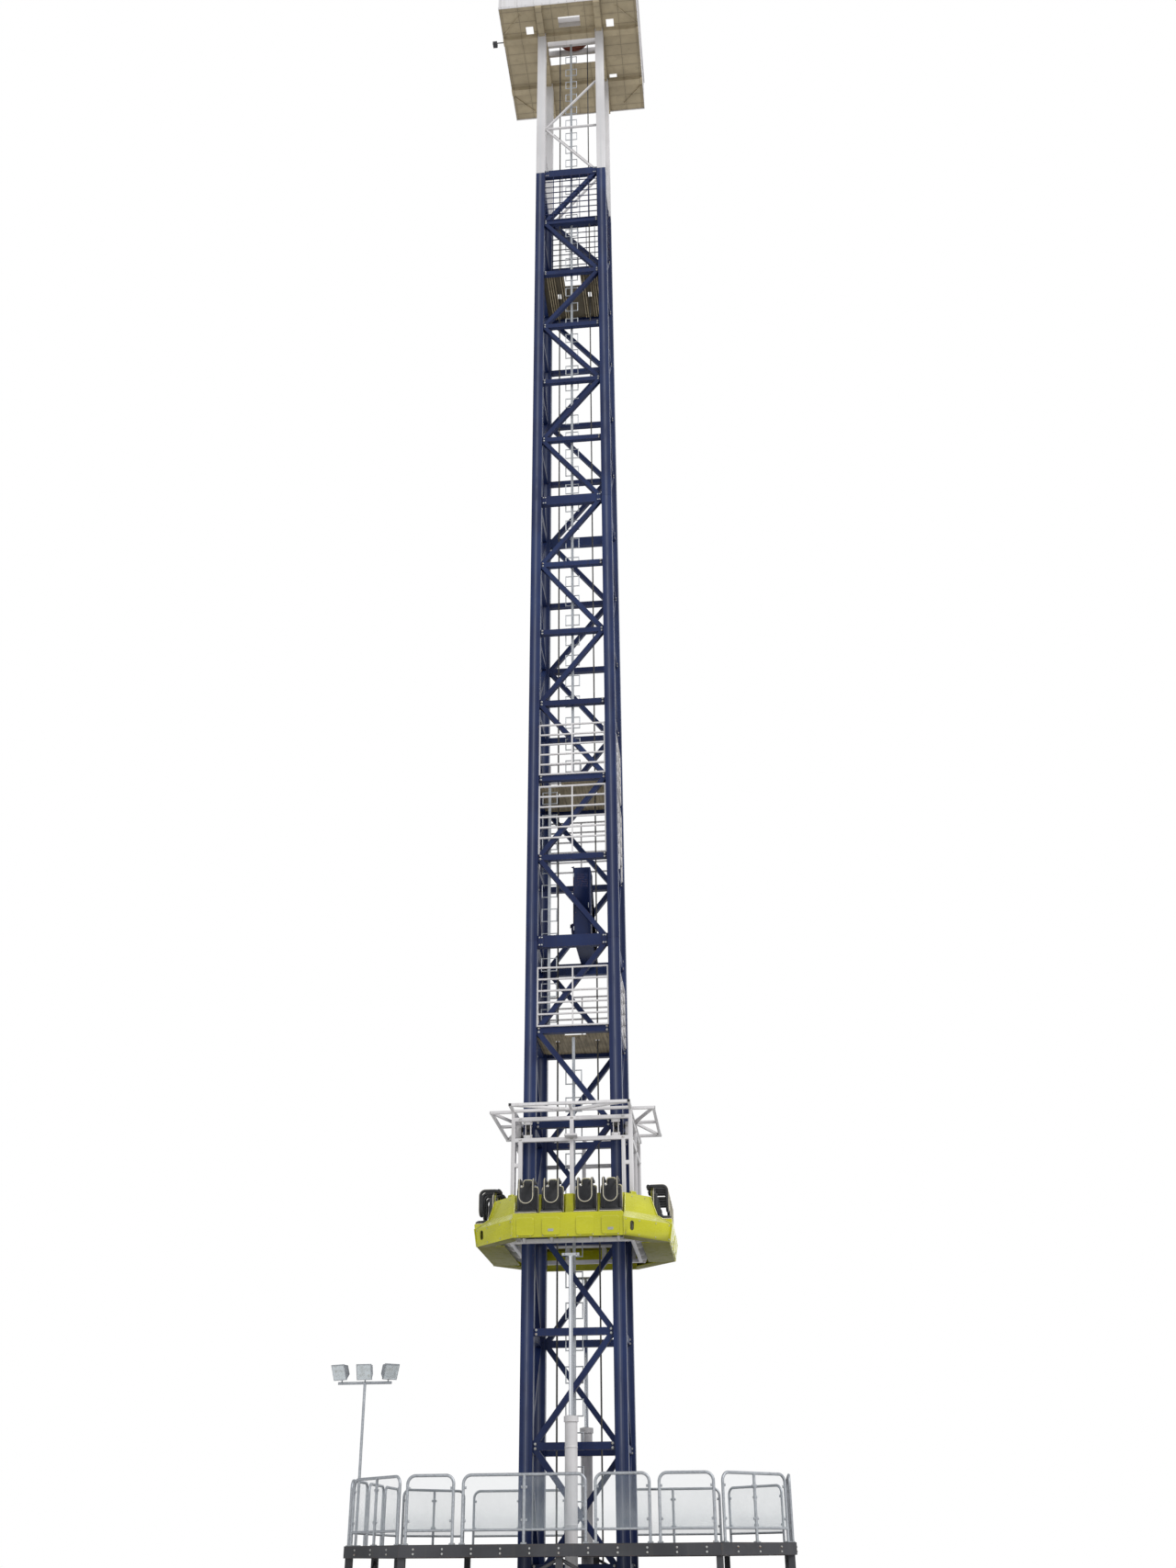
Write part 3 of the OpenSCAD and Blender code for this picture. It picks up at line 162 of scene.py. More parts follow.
class Finish:
    """One surface finish: a Principled shader and the nodes that feed it."""

    def __init__(self, name, **fixed):
        self.material = bpy.data.materials.new(name)
        self.material.use_nodes = True
        self.tree = self.material.node_tree
        self.shader = self.tree.nodes["Principled BSDF"]
        for socket, value in fixed.items():
            self.shader.inputs[socket.replace("_", " ")].default_value = value

    def node(self, kind, settings=None, values=None, out=0):
        """Adds a node, sets it, links or fills its sockets and returns one output."""
        made = self.tree.nodes.new("ShaderNode" + kind)
        for key, setting in (settings or {}).items():
            setattr(made, key, setting)
        for key, value in (values or {}).items():
            if isinstance(value, Value):
                self.tree.links.new(value.socket, made.inputs[key])
            else:
                made.inputs[key].default_value = value
        return Value(self, made.outputs[out])

    def place(self):
        """Object coordinates, which every pattern starts from."""
        return self.node("TexCoord", out="Object")

    def parts(self, vector):
        """The three parts of a vector, or of a colour, as values."""
        split = self.node("SeparateXYZ", values={0: vector}).socket.node
        return [Value(self, output) for output in split.outputs]

    def axes(self):
        """The three object coordinates as values."""
        return self.parts(self.place())

    def stretched(self, scale):
        """Object coordinates scaled on each axis, for streaks and brushing."""
        return self.node("Mapping", values={"Vector": self.place(), "Scale": scale})

    def noise(self, scale, detail=4.0, roughness=0.55, at=None):
        """Noise from 0 to 1, with its size in repeats per metre."""
        values = {"Vector": at or self.place(), "Scale": scale, "Detail": detail, "Roughness": roughness}
        return self.node("TexNoise", values=values)

    def cells(self, scale, feature="F1", out="Distance"):
        """A cell pattern, for spangle, chips and grit."""
        values = {"Vector": self.place(), "Scale": scale}
        return self.node("TexVoronoi", {"feature": feature}, values, out)

    def coats(self, colour, *layers):
        """Lays coats over a colour, each a mask and its own colour."""
        if not isinstance(colour, Value):
            colour = (*colour, 1.0)
        for mask, over in layers:
            colour = self.node("Mix", {"data_type": "RGBA"}, {0: mask, 6: colour, 7: (*over, 1.0)}, 2)
        return colour

    def done(self, colour, roughness, height, strength, distance, **others):
        """Feeds the colour, the roughness, the relief and any other socket, and gives the material."""
        relief = self.node("Bump", values={"Height": height, "Strength": strength, "Distance": distance})
        feeds = {"Base Color": colour, "Roughness": roughness, "Normal": relief, **others}
        for socket, value in feeds.items():
            self.tree.links.new(value.socket, self.shader.inputs[socket.replace("_", " ")])
        return self.material

    def facing_up(self):
        """1 on surfaces that look up, 0 on walls, -1 on undersides."""
        return self.parts(self.node("NewGeometry", out="Normal"))[2]

    def edges(self, radius):
        """1 along edges, worked out from the normal rounded over a radius."""
        rolled = self.node("Bevel", {"samples": 4}, {"Radius": radius})
        flat = self.node("NewGeometry", out="Normal")
        turn = self.node("VectorMath", {"operation": "DOT_PRODUCT"}, {0: rolled, 1: flat}, "Value")
        return turn.ramp(0.995, 0.86)


def tint(colour, factor):
    """A colour made lighter or darker by a plain factor."""
    return tuple(min(1.0, c * factor) for c in colour)


# Finishes


def painted_steel(name, colour, fade, dirt, gloss, track=False):
    """Brushed or sprayed paint with sun fade, rain streaks, grime and rust at chipped edges."""
    f = Finish(name, Coat_Roughness=0.25, Specular_IOR_Level=0.30)
    cloud = f.noise(1.3, 5.0)
    runs = f.noise(1.0, 5.0, 0.6, f.stretched((26.0, 26.0, 0.9)))
    stain = runs.ramp(0.52, 0.78) * cloud.ramp(0.30, 0.65) * 0.5
    chip = f.edges(0.004) * f.noise(48.0, 4.0, 0.7).ramp(0.50, 0.60)
    rust = chip.most(f.cells(9.0).ramp(0.09, 0.02)) * runs.ramp(0.45, 0.7) * 0.45
    base = f.coats(
        tint(colour, 0.90),
        (cloud.ramp(0.35, 0.70), fade),
        (stain, dirt),
        (chip * 0.8, (0.22, 0.10, 0.05)),
        (rust, (0.27, 0.12, 0.05)),
    )
    rough = gloss + cloud * 0.12 + stain * 0.25 + chip * 0.3
    if track:
        x, y, _ = f.axes()
        across = abs(abs(x) - COLUMN_C * MM).least(abs(abs(y) - COLUMN_C * MM))
        rubbed = f.noise(2.0, 5.0, 0.6, f.stretched((8, 8, 1.5)))
        worn = across.ramp(0.030, 0.020) * 0.35 + across.ramp(0.0095, 0.0070) * rubbed.ramp(0.25, 0.50)
        base = f.coats(base, (worn * 0.42, tuple(c * 0.4 + 0.16 for c in tint(fade, 1.8))))
        rough = rough - worn * 0.16
    relief = f.noise(160.0, 2.0, 0.7) * 0.35 + f.noise(30.0, 3.0) - chip * 0.8
    return f.done(base, rough, relief, 0.25, 0.0012)


def soffit_sheet(colour):
    """Folded floor sheets in a grid, seen from below, with fixings and grime along the joints."""
    f = Finish("Soffit sheet", Specular_IOR_Level=0.35)
    x, y, _ = f.axes()
    seam_x = abs(x.wrap(0.265))
    seam = seam_x.least(abs((y + 0.0125).wrap(0.1875)))
    joint = seam.ramp(0.0042, 0.0012)
    screw = ((seam_x**2.0 + abs((y + 0.0125).wrap(0.0625)) ** 2.0) ** 0.5).ramp(0.0052, 0.0040)
    cloud = f.noise(2.2, 6.0, 0.6)
    grime = f.noise(9.0, 6.0, 0.65)
    base = f.coats(
        tint(colour, 0.84),
        (cloud.ramp(0.30, 0.72), tint(colour, 1.08)),
        (grime.ramp(0.50, 0.74) * 0.35 + seam.ramp(0.045, 0.0) * 0.20, tint(colour, 0.52)),
        (joint * 0.75, tint(colour, 0.26)),
        (screw * 0.6, (0.30, 0.22, 0.15)),
    )
    return f.done(base, 0.55 + grime * 0.25, cloud * 0.3 - joint * 1.2 + screw * 0.7, 0.5, 0.002)


def floor_sheet(colour):
    """Weathered brown floor sheet with stains along its ribs, and painted shade that darkens the upper
    floor.
    """
    f = Finish("Floor sheet", Specular_IOR_Level=0.3)
    x, _, z = f.axes()
    cloud = f.noise(3.0, 6.0, 0.6)
    stain = f.noise(1.0, 5.0, 0.65, f.stretched((34.0, 3.0, 8.0)))
    fold = abs(x.wrap(0.038)).ramp(0.004, 0.0015)
    base = f.coats(
        tint(colour, 0.55),
        (cloud.ramp(0.3, 0.7), tint(colour, 0.95)),
        (stain.ramp(0.48, 0.72) * 0.6, tint(colour, 0.22)),
        (fold * 0.5, tint(colour, 0.15)),
        # painted shade: the sheet above 15 m is darkened to stand in for the shade on the upper floor
        ((z > 15.0) * 0.8, tint(colour, 0.12)),
        (f.noise(26.0, 5.0, 0.7).ramp(0.60, 0.72) * 0.5, (0.16, 0.075, 0.035)),
    )
    return f.done(base, 0.6 + stain * 0.25, cloud * 0.3 + stain * 0.3 - fold, 0.4, 0.002)


def moulded_shell(colour):
    """Glossy moulded shell in coloured gel coat, paler on top from sun fade and a painted highlight, with
    painted shade on undersides, scuffs and fine scratches.
    """
    f = Finish("Moulded shell", Coat_Roughness=0.10, Specular_IOR_Level=0.3)
    up = f.facing_up()
    # undersides mask: painted shade in the colour, plus a rougher, thinner coat below
    under = up.ramp(-0.25, -0.9)
    scuff = f.noise(14.0, 6.0, 0.7, f.stretched((1.0, 1.0, 2.6)))
    scratch = f.noise(6.0, 8.0, 0.75, f.stretched((14.0, 14.0, 1.2)))
    base = f.coats(
        tint(colour, 0.90),
        (f.noise(2.6, 5.0).ramp(0.32, 0.70), tint(colour, 1.06)),
        # paler on upward faces: part sun fade, part a painted highlight that brings out the shelves
        (up.ramp(0.20, 0.90) * 0.55, (0.72, 0.72, 0.32)),
        (scuff.ramp(0.60, 0.76) * 0.30, (0.20, 0.20, 0.06)),
        # painted shade: undersides darkened to olive
        (under * 0.9, (0.125, 0.112, 0.002)),
        # paler edges: partly worn gel coat, partly a painted edge highlight
        (f.edges(0.005) * f.noise(40.0, 4.0).ramp(0.48, 0.62) * 0.5, (0.70, 0.69, 0.45)),
    )
    rough = 0.24 + scuff.ramp(0.45, 0.8) * 0.30 + scratch.ramp(0.55, 0.7) * 0.12 + under * 0.35
    relief = f.noise(5.0, 2.0) + scratch * 0.08 + f.noise(220.0, 1.0) * 0.03
    return f.done(base, rough, relief, 0.18, 0.004, Coat_Weight=0.34 - under * 0.33)


def zinc():
    """Hot-dip zinc with spangle, dull patches and drips."""
    f = Finish("Zinc", Specular_IOR_Level=0.5)
    tone = f.parts(f.cells(120.0, out="Color"))[0]
    cloud = f.noise(6.0, 5.0)
    runs = f.noise(1.0, 4.0, 0.6, f.stretched((60.0, 60.0, 4.0)))
    base = f.coats(
        (0.27, 0.28, 0.30),
        (tone * 0.55 + cloud * 0.35, (0.54, 0.56, 0.58)),
        (runs.ramp(0.55, 0.80) * 0.45, (0.34, 0.34, 0.33)),
        (f.noise(22.0, 5.0, 0.7).ramp(0.66, 0.76) * 0.5, (0.36, 0.21, 0.12)),
    )
    rough, relief = 0.38 + tone * 0.12 + runs * 0.16, tone * 0.2 + cloud + runs * 0.4
    return f.done(base, rough, relief, 0.15, 0.001, Metallic=0.85 - cloud.ramp(0.5, 0.8) * 0.25)


def polished_rod():
    """Ground and chromed rod with fine turning marks and an oil film."""
    f = Finish("Polished rod", Metallic=1.0)
    turning = (f.axes()[2] * 9000.0 + f.noise(3.0, 2.0) * 9.0).sine()
    film = f.noise(5.0, 5.0, 0.6, f.stretched((6.0, 6.0, 1.2)))
    base = f.coats((0.74, 0.75, 0.77), (film.ramp(0.5, 0.8) * 0.5, (0.52, 0.49, 0.43)))
    return f.done(base, 0.14 + film.ramp(0.4, 0.8) * 0.18, turning, 0.05, 0.0004)


def wire_rope():
    """Six-strand wire rope, greased; the strands wind round each fall."""
    f = Finish("Wire rope", Specular_IOR_Level=0.5)
    x, y, z = f.axes()
    turn = (abs(y) - 0.030).direction(abs(x) - 0.225)
    lay = z * (2 * math.pi / 0.085)
    strand = ((turn + lay) * 6.0).sine()
    wires = ((turn - lay) * 30.0).sine()
    grease = f.noise(9.0, 5.0, 0.6)
    base = f.coats(
        (0.018, 0.017, 0.016),
        (strand.ramp(-0.7, 0.8), (0.17, 0.165, 0.155)),
        (grease.ramp(0.45, 0.7) * 0.5, (0.03, 0.024, 0.018)),
    )
    bare = 0.8 - grease.ramp(0.4, 0.7) * 0.5
    return f.done(base, 0.40 + grease * 0.25, strand + wires * 0.25, 0.7, 0.0012, Metallic=bare)


def primer():
    """Red oxide primer with rust bloom and grease near the shaft."""
    f = Finish("Red primer", Specular_IOR_Level=0.3)
    cloud = f.noise(9.0, 6.0, 0.65)
    rust = f.noise(34.0, 6.0, 0.7)
    base = f.coats(
        (0.16, 0.045, 0.028),
        (cloud.ramp(0.3, 0.7), (0.27, 0.085, 0.05)),
        (rust.ramp(0.52, 0.68), (0.20, 0.075, 0.025)),
        (f.noise(5.0, 4.0).ramp(0.58, 0.75) * 0.7, (0.02, 0.016, 0.013)),
    )
    return f.done(base, 0.52 + rust * 0.35, rust + cloud * 0.4, 0.4, 0.0015)


def tread_plate(colour):
    """Dark painted tread plate: crossed lozenges on top, plain edges, worn bright where people walk."""
    f = Finish("Tread plate", Specular_IOR_Level=0.4)
    x, y, _ = f.axes()
    pitch = 0.022

    def lozenges(shift, turn):
        u = (x * turn + y) * 0.7071 + shift
        v = (y * turn - x) * 0.7071 + shift
        return (abs(u.wrap(pitch)) / 0.0080 + abs(v.wrap(pitch)) / 0.0026).ramp(1.0, 0.6)

    raised = lozenges(0.0, 1.0).most(lozenges(pitch / 2, -1.0)) * f.facing_up().ramp(0.7, 0.95)
    cloud = f.noise(2.0, 6.0, 0.6)
    dust = f.noise(11.0, 6.0, 0.65)
    base = f.coats(
        tint(colour, 0.8),
        (cloud.ramp(0.3, 0.7), tint(colour, 1.35)),
        (raised * cloud.ramp(0.35, 0.6) * 0.55, (0.22, 0.22, 0.22)),
        (dust.ramp(0.5, 0.8) * 0.35 * (1.0 - raised), (0.15, 0.135, 0.11)),
    )
    rough = 0.62 - raised * 0.22 + dust * 0.15
    return f.done(base, rough, raised + dust * 0.08, 0.6, 0.0015, Metallic=raised * 0.4)


def clear_sheet():
    """Clear plastic sheet, hazed by washing, with dust near its lower edge."""
    f = Finish("Clear sheet", IOR=1.49, Specular_IOR_Level=0.6)
    haze = f.noise(5.0, 6.0, 0.6)
    wipe = f.noise(3.0, 8.0, 0.7, f.stretched((2.0, 2.0, 9.0)))
    base = f.coats((0.36, 0.40, 0.43), (haze.ramp(0.3, 0.7), (0.50, 0.53, 0.54)))
    solid = 0.07 + haze * 0.09 + f.axes()[2].ramp(1.30, 1.06) * 0.10 + f.edges(0.003) * 0.35
    return f.done(base, 0.10 + wipe.ramp(0.4, 0.8) * 0.30, wipe, 0.05, 0.001, Alpha=solid)


def seat_foam():
    """Black moulded foam with a fine grain, paler where riders rub it."""
    f = Finish("Seat foam", Specular_IOR_Level=0.4, Sheen_Weight=0.15, Sheen_Roughness=0.5)
    grain = f.cells(900.0, "SMOOTH_F1")
    rub = f.noise(7.0, 5.0, 0.6)
    dust = f.facing_up().ramp(0.3, 1.0) * f.noise(16.0, 4.0).ramp(0.50, 0.75) * 0.4
    base = f.coats(
        (0.012, 0.012, 0.014),
        (rub.ramp(0.40, 0.72), (0.034, 0.034, 0.037)),
        (dust, (0.075, 0.07, 0.062)),
    )
    rough = 0.48 + rub * 0.20 - grain.ramp(0.0, 0.6) * 0.06
    return f.done(base, rough, grain + f.noise(70.0, 5.0, 0.6) * 0.7, 0.35, 0.0006)


def piping(colour):
    """Cream edge beading on the seats and restraints, soiled by hands."""
    f = Finish("Edge beading", Specular_IOR_Level=0.4, Coat_Weight=0.15)
    soil = f.noise(24.0, 6.0, 0.65)
    base = f.coats(colour, (soil.ramp(0.45, 0.75) * 0.6, tint(colour, 0.45)))
    return f.done(base, 0.42 + soil * 0.25, soil + f.noise(200.0, 2.0) * 0.4, 0.2, 0.0008)


def roller_rubber():
    """Dark polyurethane tyre with a dusty running face."""
    f = Finish("Roller tyre", Specular_IOR_Level=0.4)
    dust = f.noise(60.0, 5.0, 0.6)
    base = f.coats((0.016, 0.014, 0.013), (dust.ramp(0.4, 0.7), (0.085, 0.078, 0.066)))
    return f.done(base, 0.46 + dust * 0.3, dust, 0.3, 0.0008)


def lamp_glass():
    """Ribbed front glass of a floodlight over its dull reflector."""
    f = Finish("Lamp glass", Coat_Weight=0.8, Coat_Roughness=0.05)
    rib = (f.axes()[0] * 620.0).sine()
    dust = f.noise(26.0, 5.0, 0.6)
    base = f.coats((0.60, 0.64, 0.66), (dust.ramp(0.4, 0.75), (0.40, 0.41, 0.39)))
    return f.done(base, 0.12 + dust * 0.25, rib, 0.25, 0.001, Metallic=0.55 - dust.ramp(0.4, 0.8) * 0.3)


def bolt_zinc():
    """Plated fasteners, dulled, with rust in places."""
    f = Finish("Plated fastener", Specular_IOR_Level=0.5)
    patch = f.noise(38.0, 5.0, 0.65)
    base = f.coats((0.48, 0.48, 0.46), (patch.ramp(0.52, 0.68), (0.24, 0.13, 0.07)))
    return f.done(base, 0.34 + patch * 0.35, patch, 0.2, 0.0006, Metallic=0.85 - patch.ramp(0.5, 0.7) * 0.6)


# Settings


def colour(name, description, *default):
    """A colour setting, in linear values."""
    return FloatVectorProperty(name=name, description=description, default=default, subtype="COLOR")


def length(name, description, default):
    """A length setting, in metres."""
    return FloatProperty(name=name, description=description, default=default, unit="LENGTH")


def angle(name, description, degrees):
    """An angle setting, given in degrees."""
    return FloatProperty(name=name, description=description, default=math.radians(degrees), unit="ROTATION")


class RidePaint(bpy.types.PropertyGroup):
    """Colours of the ride's finishes."""

    tower: colour("Tower blue", "Paint of the lower tower", 0.0045, 0.0125, 0.062)
    tower_fade: colour("Tower blue, faded", "Sun-faded tower paint", 0.010, 0.024, 0.090)
    white: colour("White", "Paint of the top section and carriage", 0.62, 0.60, 0.60)
    soffit: colour("Soffit", "Folded sheets of the floors", 0.38, 0.31, 0.20)
    shell: colour("Seat shells", "Gel coat of rows and fairings", 0.47, 0.46, 0.012)
    deck: colour("Deck", "Paint of the deck and ground beams", 0.040, 0.040, 0.044)
    beading: colour("Beading", "Edge beading of seats and restraints", 0.66, 0.60, 0.44)


class RideSizes(bpy.types.PropertyGroup):
    """Sizes of the added pieces."""

    bolt: length("Tower bolt", "Across the corners of a tower bolt", 0.020)
    small_bolt: length("Small bolt", "Across the corners of a small bolt", 0.010)
    edge: length("Shell edge", "Edge radius of moulded shells", 0.005)
    beading: length("Beading", "Thickness of the edge beading", 0.009)
    cloth_steps: IntProperty(name="Foam steps", description="Steps of the foam's inflation", default=14)


class RideCamera(bpy.types.PropertyGroup):
    """Standpoint and direction of the photograph, for the half-size model."""

    place: FloatVectorProperty(
        name="Place", description="Standpoint", default=(1.70389, -15.90962, 0.8), subtype="TRANSLATION"
    )
    lens: FloatProperty(name="Lens", description="Focal length in millimetres", default=33.914)
    yaw: angle("Yaw", "Turn to the left", 5.617)
    pitch: angle("Pitch", "Tilt upwards", 27.767)
    roll: angle("Roll", "Turn about the view", 0.455)


# Modelling


def settings():
    """The scene's paint, sizes and camera settings."""
    scene = bpy.context.scene
    return scene.ride_paint, scene.ride_sizes, scene.ride_camera


def deselect():
    """Deselects everything, because the construction model's nodes come in selected."""
    bpy.ops.object.select_all(action="DESELECT")


def select(objects):
    """Selects these objects and makes the first one active."""
    deselect()
    for obj in objects:
        obj.select_set(True)
    bpy.context.view_layer.objects.active = objects[0]


def settle(obj):
    """Moves the object's place, turn and size into its mesh."""
    select([obj])
    bpy.ops.object.transform_apply(location=True, rotation=True, scale=True)
    return obj


def block(low, high):
    """A box between two corners in millimetres."""
    deselect()
    centre = [(a + b) / 2 * MM for a, b in zip(low, high)]
    size = [(b - a) * MM for a, b in zip(low, high)]
    bpy.ops.mesh.primitive_cube_add(size=1, location=centre, scale=size)
    return settle(bpy.context.object)


def post(centre, radius, depth, sides=24, axis="Z"):
    """A cylinder about a centre in millimetres, along one axis."""
    deselect()
    turn = {"X": (0, math.pi / 2, 0), "Y": (math.pi / 2, 0, 0), "Z": (0, 0, 0)}[axis]
    place = {"location": [c * MM for c in centre], "rotation": turn}
    bpy.ops.mesh.primitive_cylinder_add(vertices=sides, radius=radius * MM, depth=depth * MM, **place)
    return settle(bpy.context.object)


def wire(points, name, closed, **values):
    """Mesh from a curve through points in millimetres, with the curve's settings."""
    deselect()
    line = bpy.data.curves.new(name, "CURVE")
    for key, value in values.items():
        setattr(line, key, value)
    spline = line.splines.new("POLY")
    spline.points.add(len(points) - 1)
    for point, place in zip(spline.points, points):
        point.co = (*[c * MM for c in place], 1)
    spline.use_cyclic_u = closed
    obj = bpy.data.objects.new(name, line)
    bpy.context.scene.collection.objects.link(obj)
    select([obj])
    bpy.ops.object.convert(target="MESH")
    return bpy.context.object


def tube(points, radius, sides=8, closed=False):
    """A round tube through points in millimetres."""
    section = {"bevel_depth": radius * MM, "bevel_resolution": sides // 4 - 1, "use_fill_caps": not closed}
    return smooth(wire(points, "tube", closed, dimensions="3D", **section))


def facing(way):
    """Test of a face's normal: +x, -x and so on for one side, x for both sides of an axis."""
    axis = "xyz".index(way[-1])
    sign = {"+": 1, "-": -1}.get(way[0])
    return lambda c, n: (n[axis] * sign if sign else abs(n[axis])) > 0.9


def pick_faces(obj, test):
    """Opens the object in edit mode with just the faces selected that face one way or pass a test."""
    test = facing(test) if isinstance(test, str) else test
    open_edit(obj)
    bpy.ops.mesh.select_mode(type="FACE")
    bpy.ops.mesh.select_all(action="DESELECT")
    close_edit()
    for face in obj.data.polygons:
        face.select = bool(test(face.center / MM, face.normal))
    bpy.ops.object.mode_set(mode="EDIT")


def open_edit(obj):
    """Opens the object in edit mode with all of it selected."""
    select([obj])
    bpy.ops.object.mode_set(mode="EDIT")
    bpy.ops.mesh.select_all(action="SELECT")


def close_edit():
    """Back to object mode."""
    bpy.ops.object.mode_set(mode="OBJECT")


def taper(obj, way, x, y, middle):
    """Narrows the faces on one side of a piece about a point in millimetres."""
    pick_faces(obj, way)
    bpy.ops.transform.resize(value=(x, y, 1), center_override=[c * MM for c in middle])
    close_edit()


def sink(obj, test, margin, depth):
    """Insets the picked faces by a margin and moves them along their normal, inwards below zero."""
    pick_faces(obj, test)
    bpy.ops.mesh.inset(thickness=margin * MM, depth=depth * MM)
    close_edit()
    return obj


def apply_modifier(obj, kind, **values):
    """Adds one modifier, sets it and applies it."""
    select([obj])
    made = obj.modifiers.new(kind.title(), kind)
    for key, value in values.items():
        setattr(made, key, value)
    bpy.ops.object.modifier_apply(modifier=made.name)
    return obj


def smooth(obj, angle=35):
    """Smooth shading that keeps hard edges past an angle in degrees."""
    select([obj])
    bpy.ops.object.shade_smooth_by_angle(angle=math.radians(angle))
    return obj


def rounded(obj, width, segments=2, angle=30):
    """Rounds the hard edges of a piece by a width in millimetres."""
    apply_modifier(
        obj,
        "BEVEL",
        width=width * MM,
        segments=segments,
        limit_method="ANGLE",
        angle_limit=math.radians(angle),
        use_clamp_overlap=True,
        harden_normals=False,
    )
    return smooth(obj, 50)


def copies(template, places):
    """One copy of the template, each with its own mesh, for every matrix; the template goes."""
    made = []
    for place in places:
        twin = template.copy()
        twin.data = template.data.copy()
        twin.data.transform(place)
        bpy.context.scene.collection.objects.link(twin)
        made.append(twin)
    bpy.data.objects.remove(template)
    return made


def join(objects):
    """Joins objects into the first one."""
    select(objects)
    if len(objects) > 1:
        bpy.ops.object.join()
    return bpy.context.object


def finish_piece(pieces, name, body, slot, finish=None):
    """Joins pieces into one, names it, gives it its finish and hands it to the body that carries it."""
    obj = join(pieces)
    obj.name = obj.data.name = name
    obj.data.materials.clear()
    obj.data.materials.append(FINISH[finish or SLOT_FINISH[slot]])
    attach(obj, body)
    return obj


def shift(x, y, z):
    """Move in millimetres."""
    return Matrix.Translation((x * MM, y * MM, z * MM))


def hex_bolt(across):
    """Hexagon head on a washer, standing on the origin along Z, with a bevelled top."""
    r = across * 500
    head = sink(post((0, 0, r * 0.62), r, r * 0.85, 6), "+z", r * 0.16, r * 0.09)
    washer = sink(post((0, 0, r * 0.10), r * 1.28, r * 0.20, 12), "+z", r * 0.10, r * 0.03)
    return join([head, washer])


def aim(place, normal):
    """Matrix that stands a piece made along Z on a point in millimetres, along a normal."""
    turn = Vector(normal).to_track_quat("Z", "Y").to_matrix().to_4x4()
    return shift(*place) @ turn


def spot(turn, *place, normal=(0, -1, 0)):
    """Place and direction of a bolt, turned to its side."""
    return turn @ Vector(place), turn @ Vector(normal)


def bolts(name, across, body, spots):
    """One piece with a bolt at every (place, normal)."""
    heads = copies(hex_bolt(across), [aim(place, normal) for place, normal in spots])
    return finish_piece(heads, name, body, "galvanised", "bolt")


def soft_copy(node, name, body, slot, width, finish=None, segments=2, reshape=None):
    """Stands for a construction node: the same faces, reshaped where asked, with rounded edges."""
    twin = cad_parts[node].copy()
    twin.data = twin.data.copy()
    twin.modifiers.clear()
    bpy.context.scene.collection.objects.link(twin)
    twin.parent = None
    twin.matrix_world = Matrix.Identity(4)
    open_edit(twin)
    bpy.ops.mesh.remove_doubles(threshold=0.00001)
    bpy.ops.mesh.dissolve_limited(angle_limit=math.radians(0.6))
    close_edit()
    if reshape:
        for vertex in twin.data.vertices:
            vertex.co = reshape(vertex.co / MM) * MM
    finish_piece([rounded(twin, width, segments)], name, body, slot, finish)
    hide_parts(node)
    return twin


FINISH = {}
SLOT_FINISH = {
    "blue": "blue",
    "white": "white",
    "beige": "beige",
    "yellow": "shell",
    "galvanised": "zinc",
    "black": "foam",
    "oxide": "primer",
    "clear": "glass",
}
NODE_FINISH = {
    "dark": "base_frame platform_lamp deck_frame deck_legs",
    "column": "lower_columns middle_columns upper_columns",
    "white_column": "top_columns",
    "blue": "front_bracing rear_bracing left_bracing right_bracing mesh_guard drive_cabinet",
    "white": "top_bracing guard_panels machine_beams buffer_cylinders carriage_frame outriggers buffer_stops"
    " seat_brackets guide_brackets",
    "zinc": "ladder deck_railing floodlight_mast floodlights",
    "floor": "landings",
    "rope": "hoist_ropes",
    "primer": "head_sheave",
    "beige": "platform_floor",
    "fascia": "platform_parapet",
    "tread": "deck_plates",
    "clear": "railing_infill",
    "rod": "buffer_rods",
    "shell": "seat_rows corner_fairings",
    "tyre": "guide_rollers",
}


def make_finishes():
    """Makes every finish once, from the colours in the panel."""
    paint = settings()[0]
    blue, faded, white, deck = (tuple(c) for c in (paint.tower, paint.tower_fade, paint.white, paint.deck))
    soot, dust = (0.024, 0.026, 0.030), (0.27, 0.25, 0.215)
    FINISH.update(
        blue=painted_steel("Tower blue", blue, faded, soot, 0.44),
        column=painted_steel("Column blue", blue, faded, soot, 0.44, track=True),
        white=painted_steel("White paint", white, tint(white, 1.06), dust, 0.45),
        white_column=painted_steel("White column", white, tint(white, 1.06), dust, 0.45, track=True),
        fascia=painted_steel("Fascia sheet", tint(white, 1.05), tint(white, 1.12), (0.34, 0.31, 0.27), 0.38),
        dark=painted_steel("Ground steel", deck, tint(deck, 1.5), (0.10, 0.09, 0.075), 0.55),
        beige=soffit_sheet(tuple(paint.soffit)),
        floor=floor_sheet(tuple(paint.soffit)),
        shell=moulded_shell(tuple(paint.shell)),
        zinc=zinc(),
        rod=polished_rod(),
        rope=wire_rope(),
        primer=primer(),
        tread=tread_plate(deck),
        clear=clear_sheet(),
        foam=seat_foam(),
        piping=piping(tuple(paint.beading)),
        tyre=roller_rubber(),
        glass=lamp_glass(),
        bolt=bolt_zinc(),
    )


# Pieces


class RIDE_OT_finishes(bpy.types.Operator):
    """Makes the finishes and gives every construction node its own"""

    bl_idname = "ride.finishes"
    bl_label = "Finishes"

    def execute(self, context):
        make_finishes()
        for name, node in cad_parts.items():
            keys = [key for key, names in NODE_FINISH.items() if name in names.split()]
            finish = FINISH[keys[0] if keys else "foam"]
            if not node.material_slots:
                node.data.materials.append(finish)
            for material_slot in node.material_slots:
                material_slot.material = finish
        return {"FINISHED"}


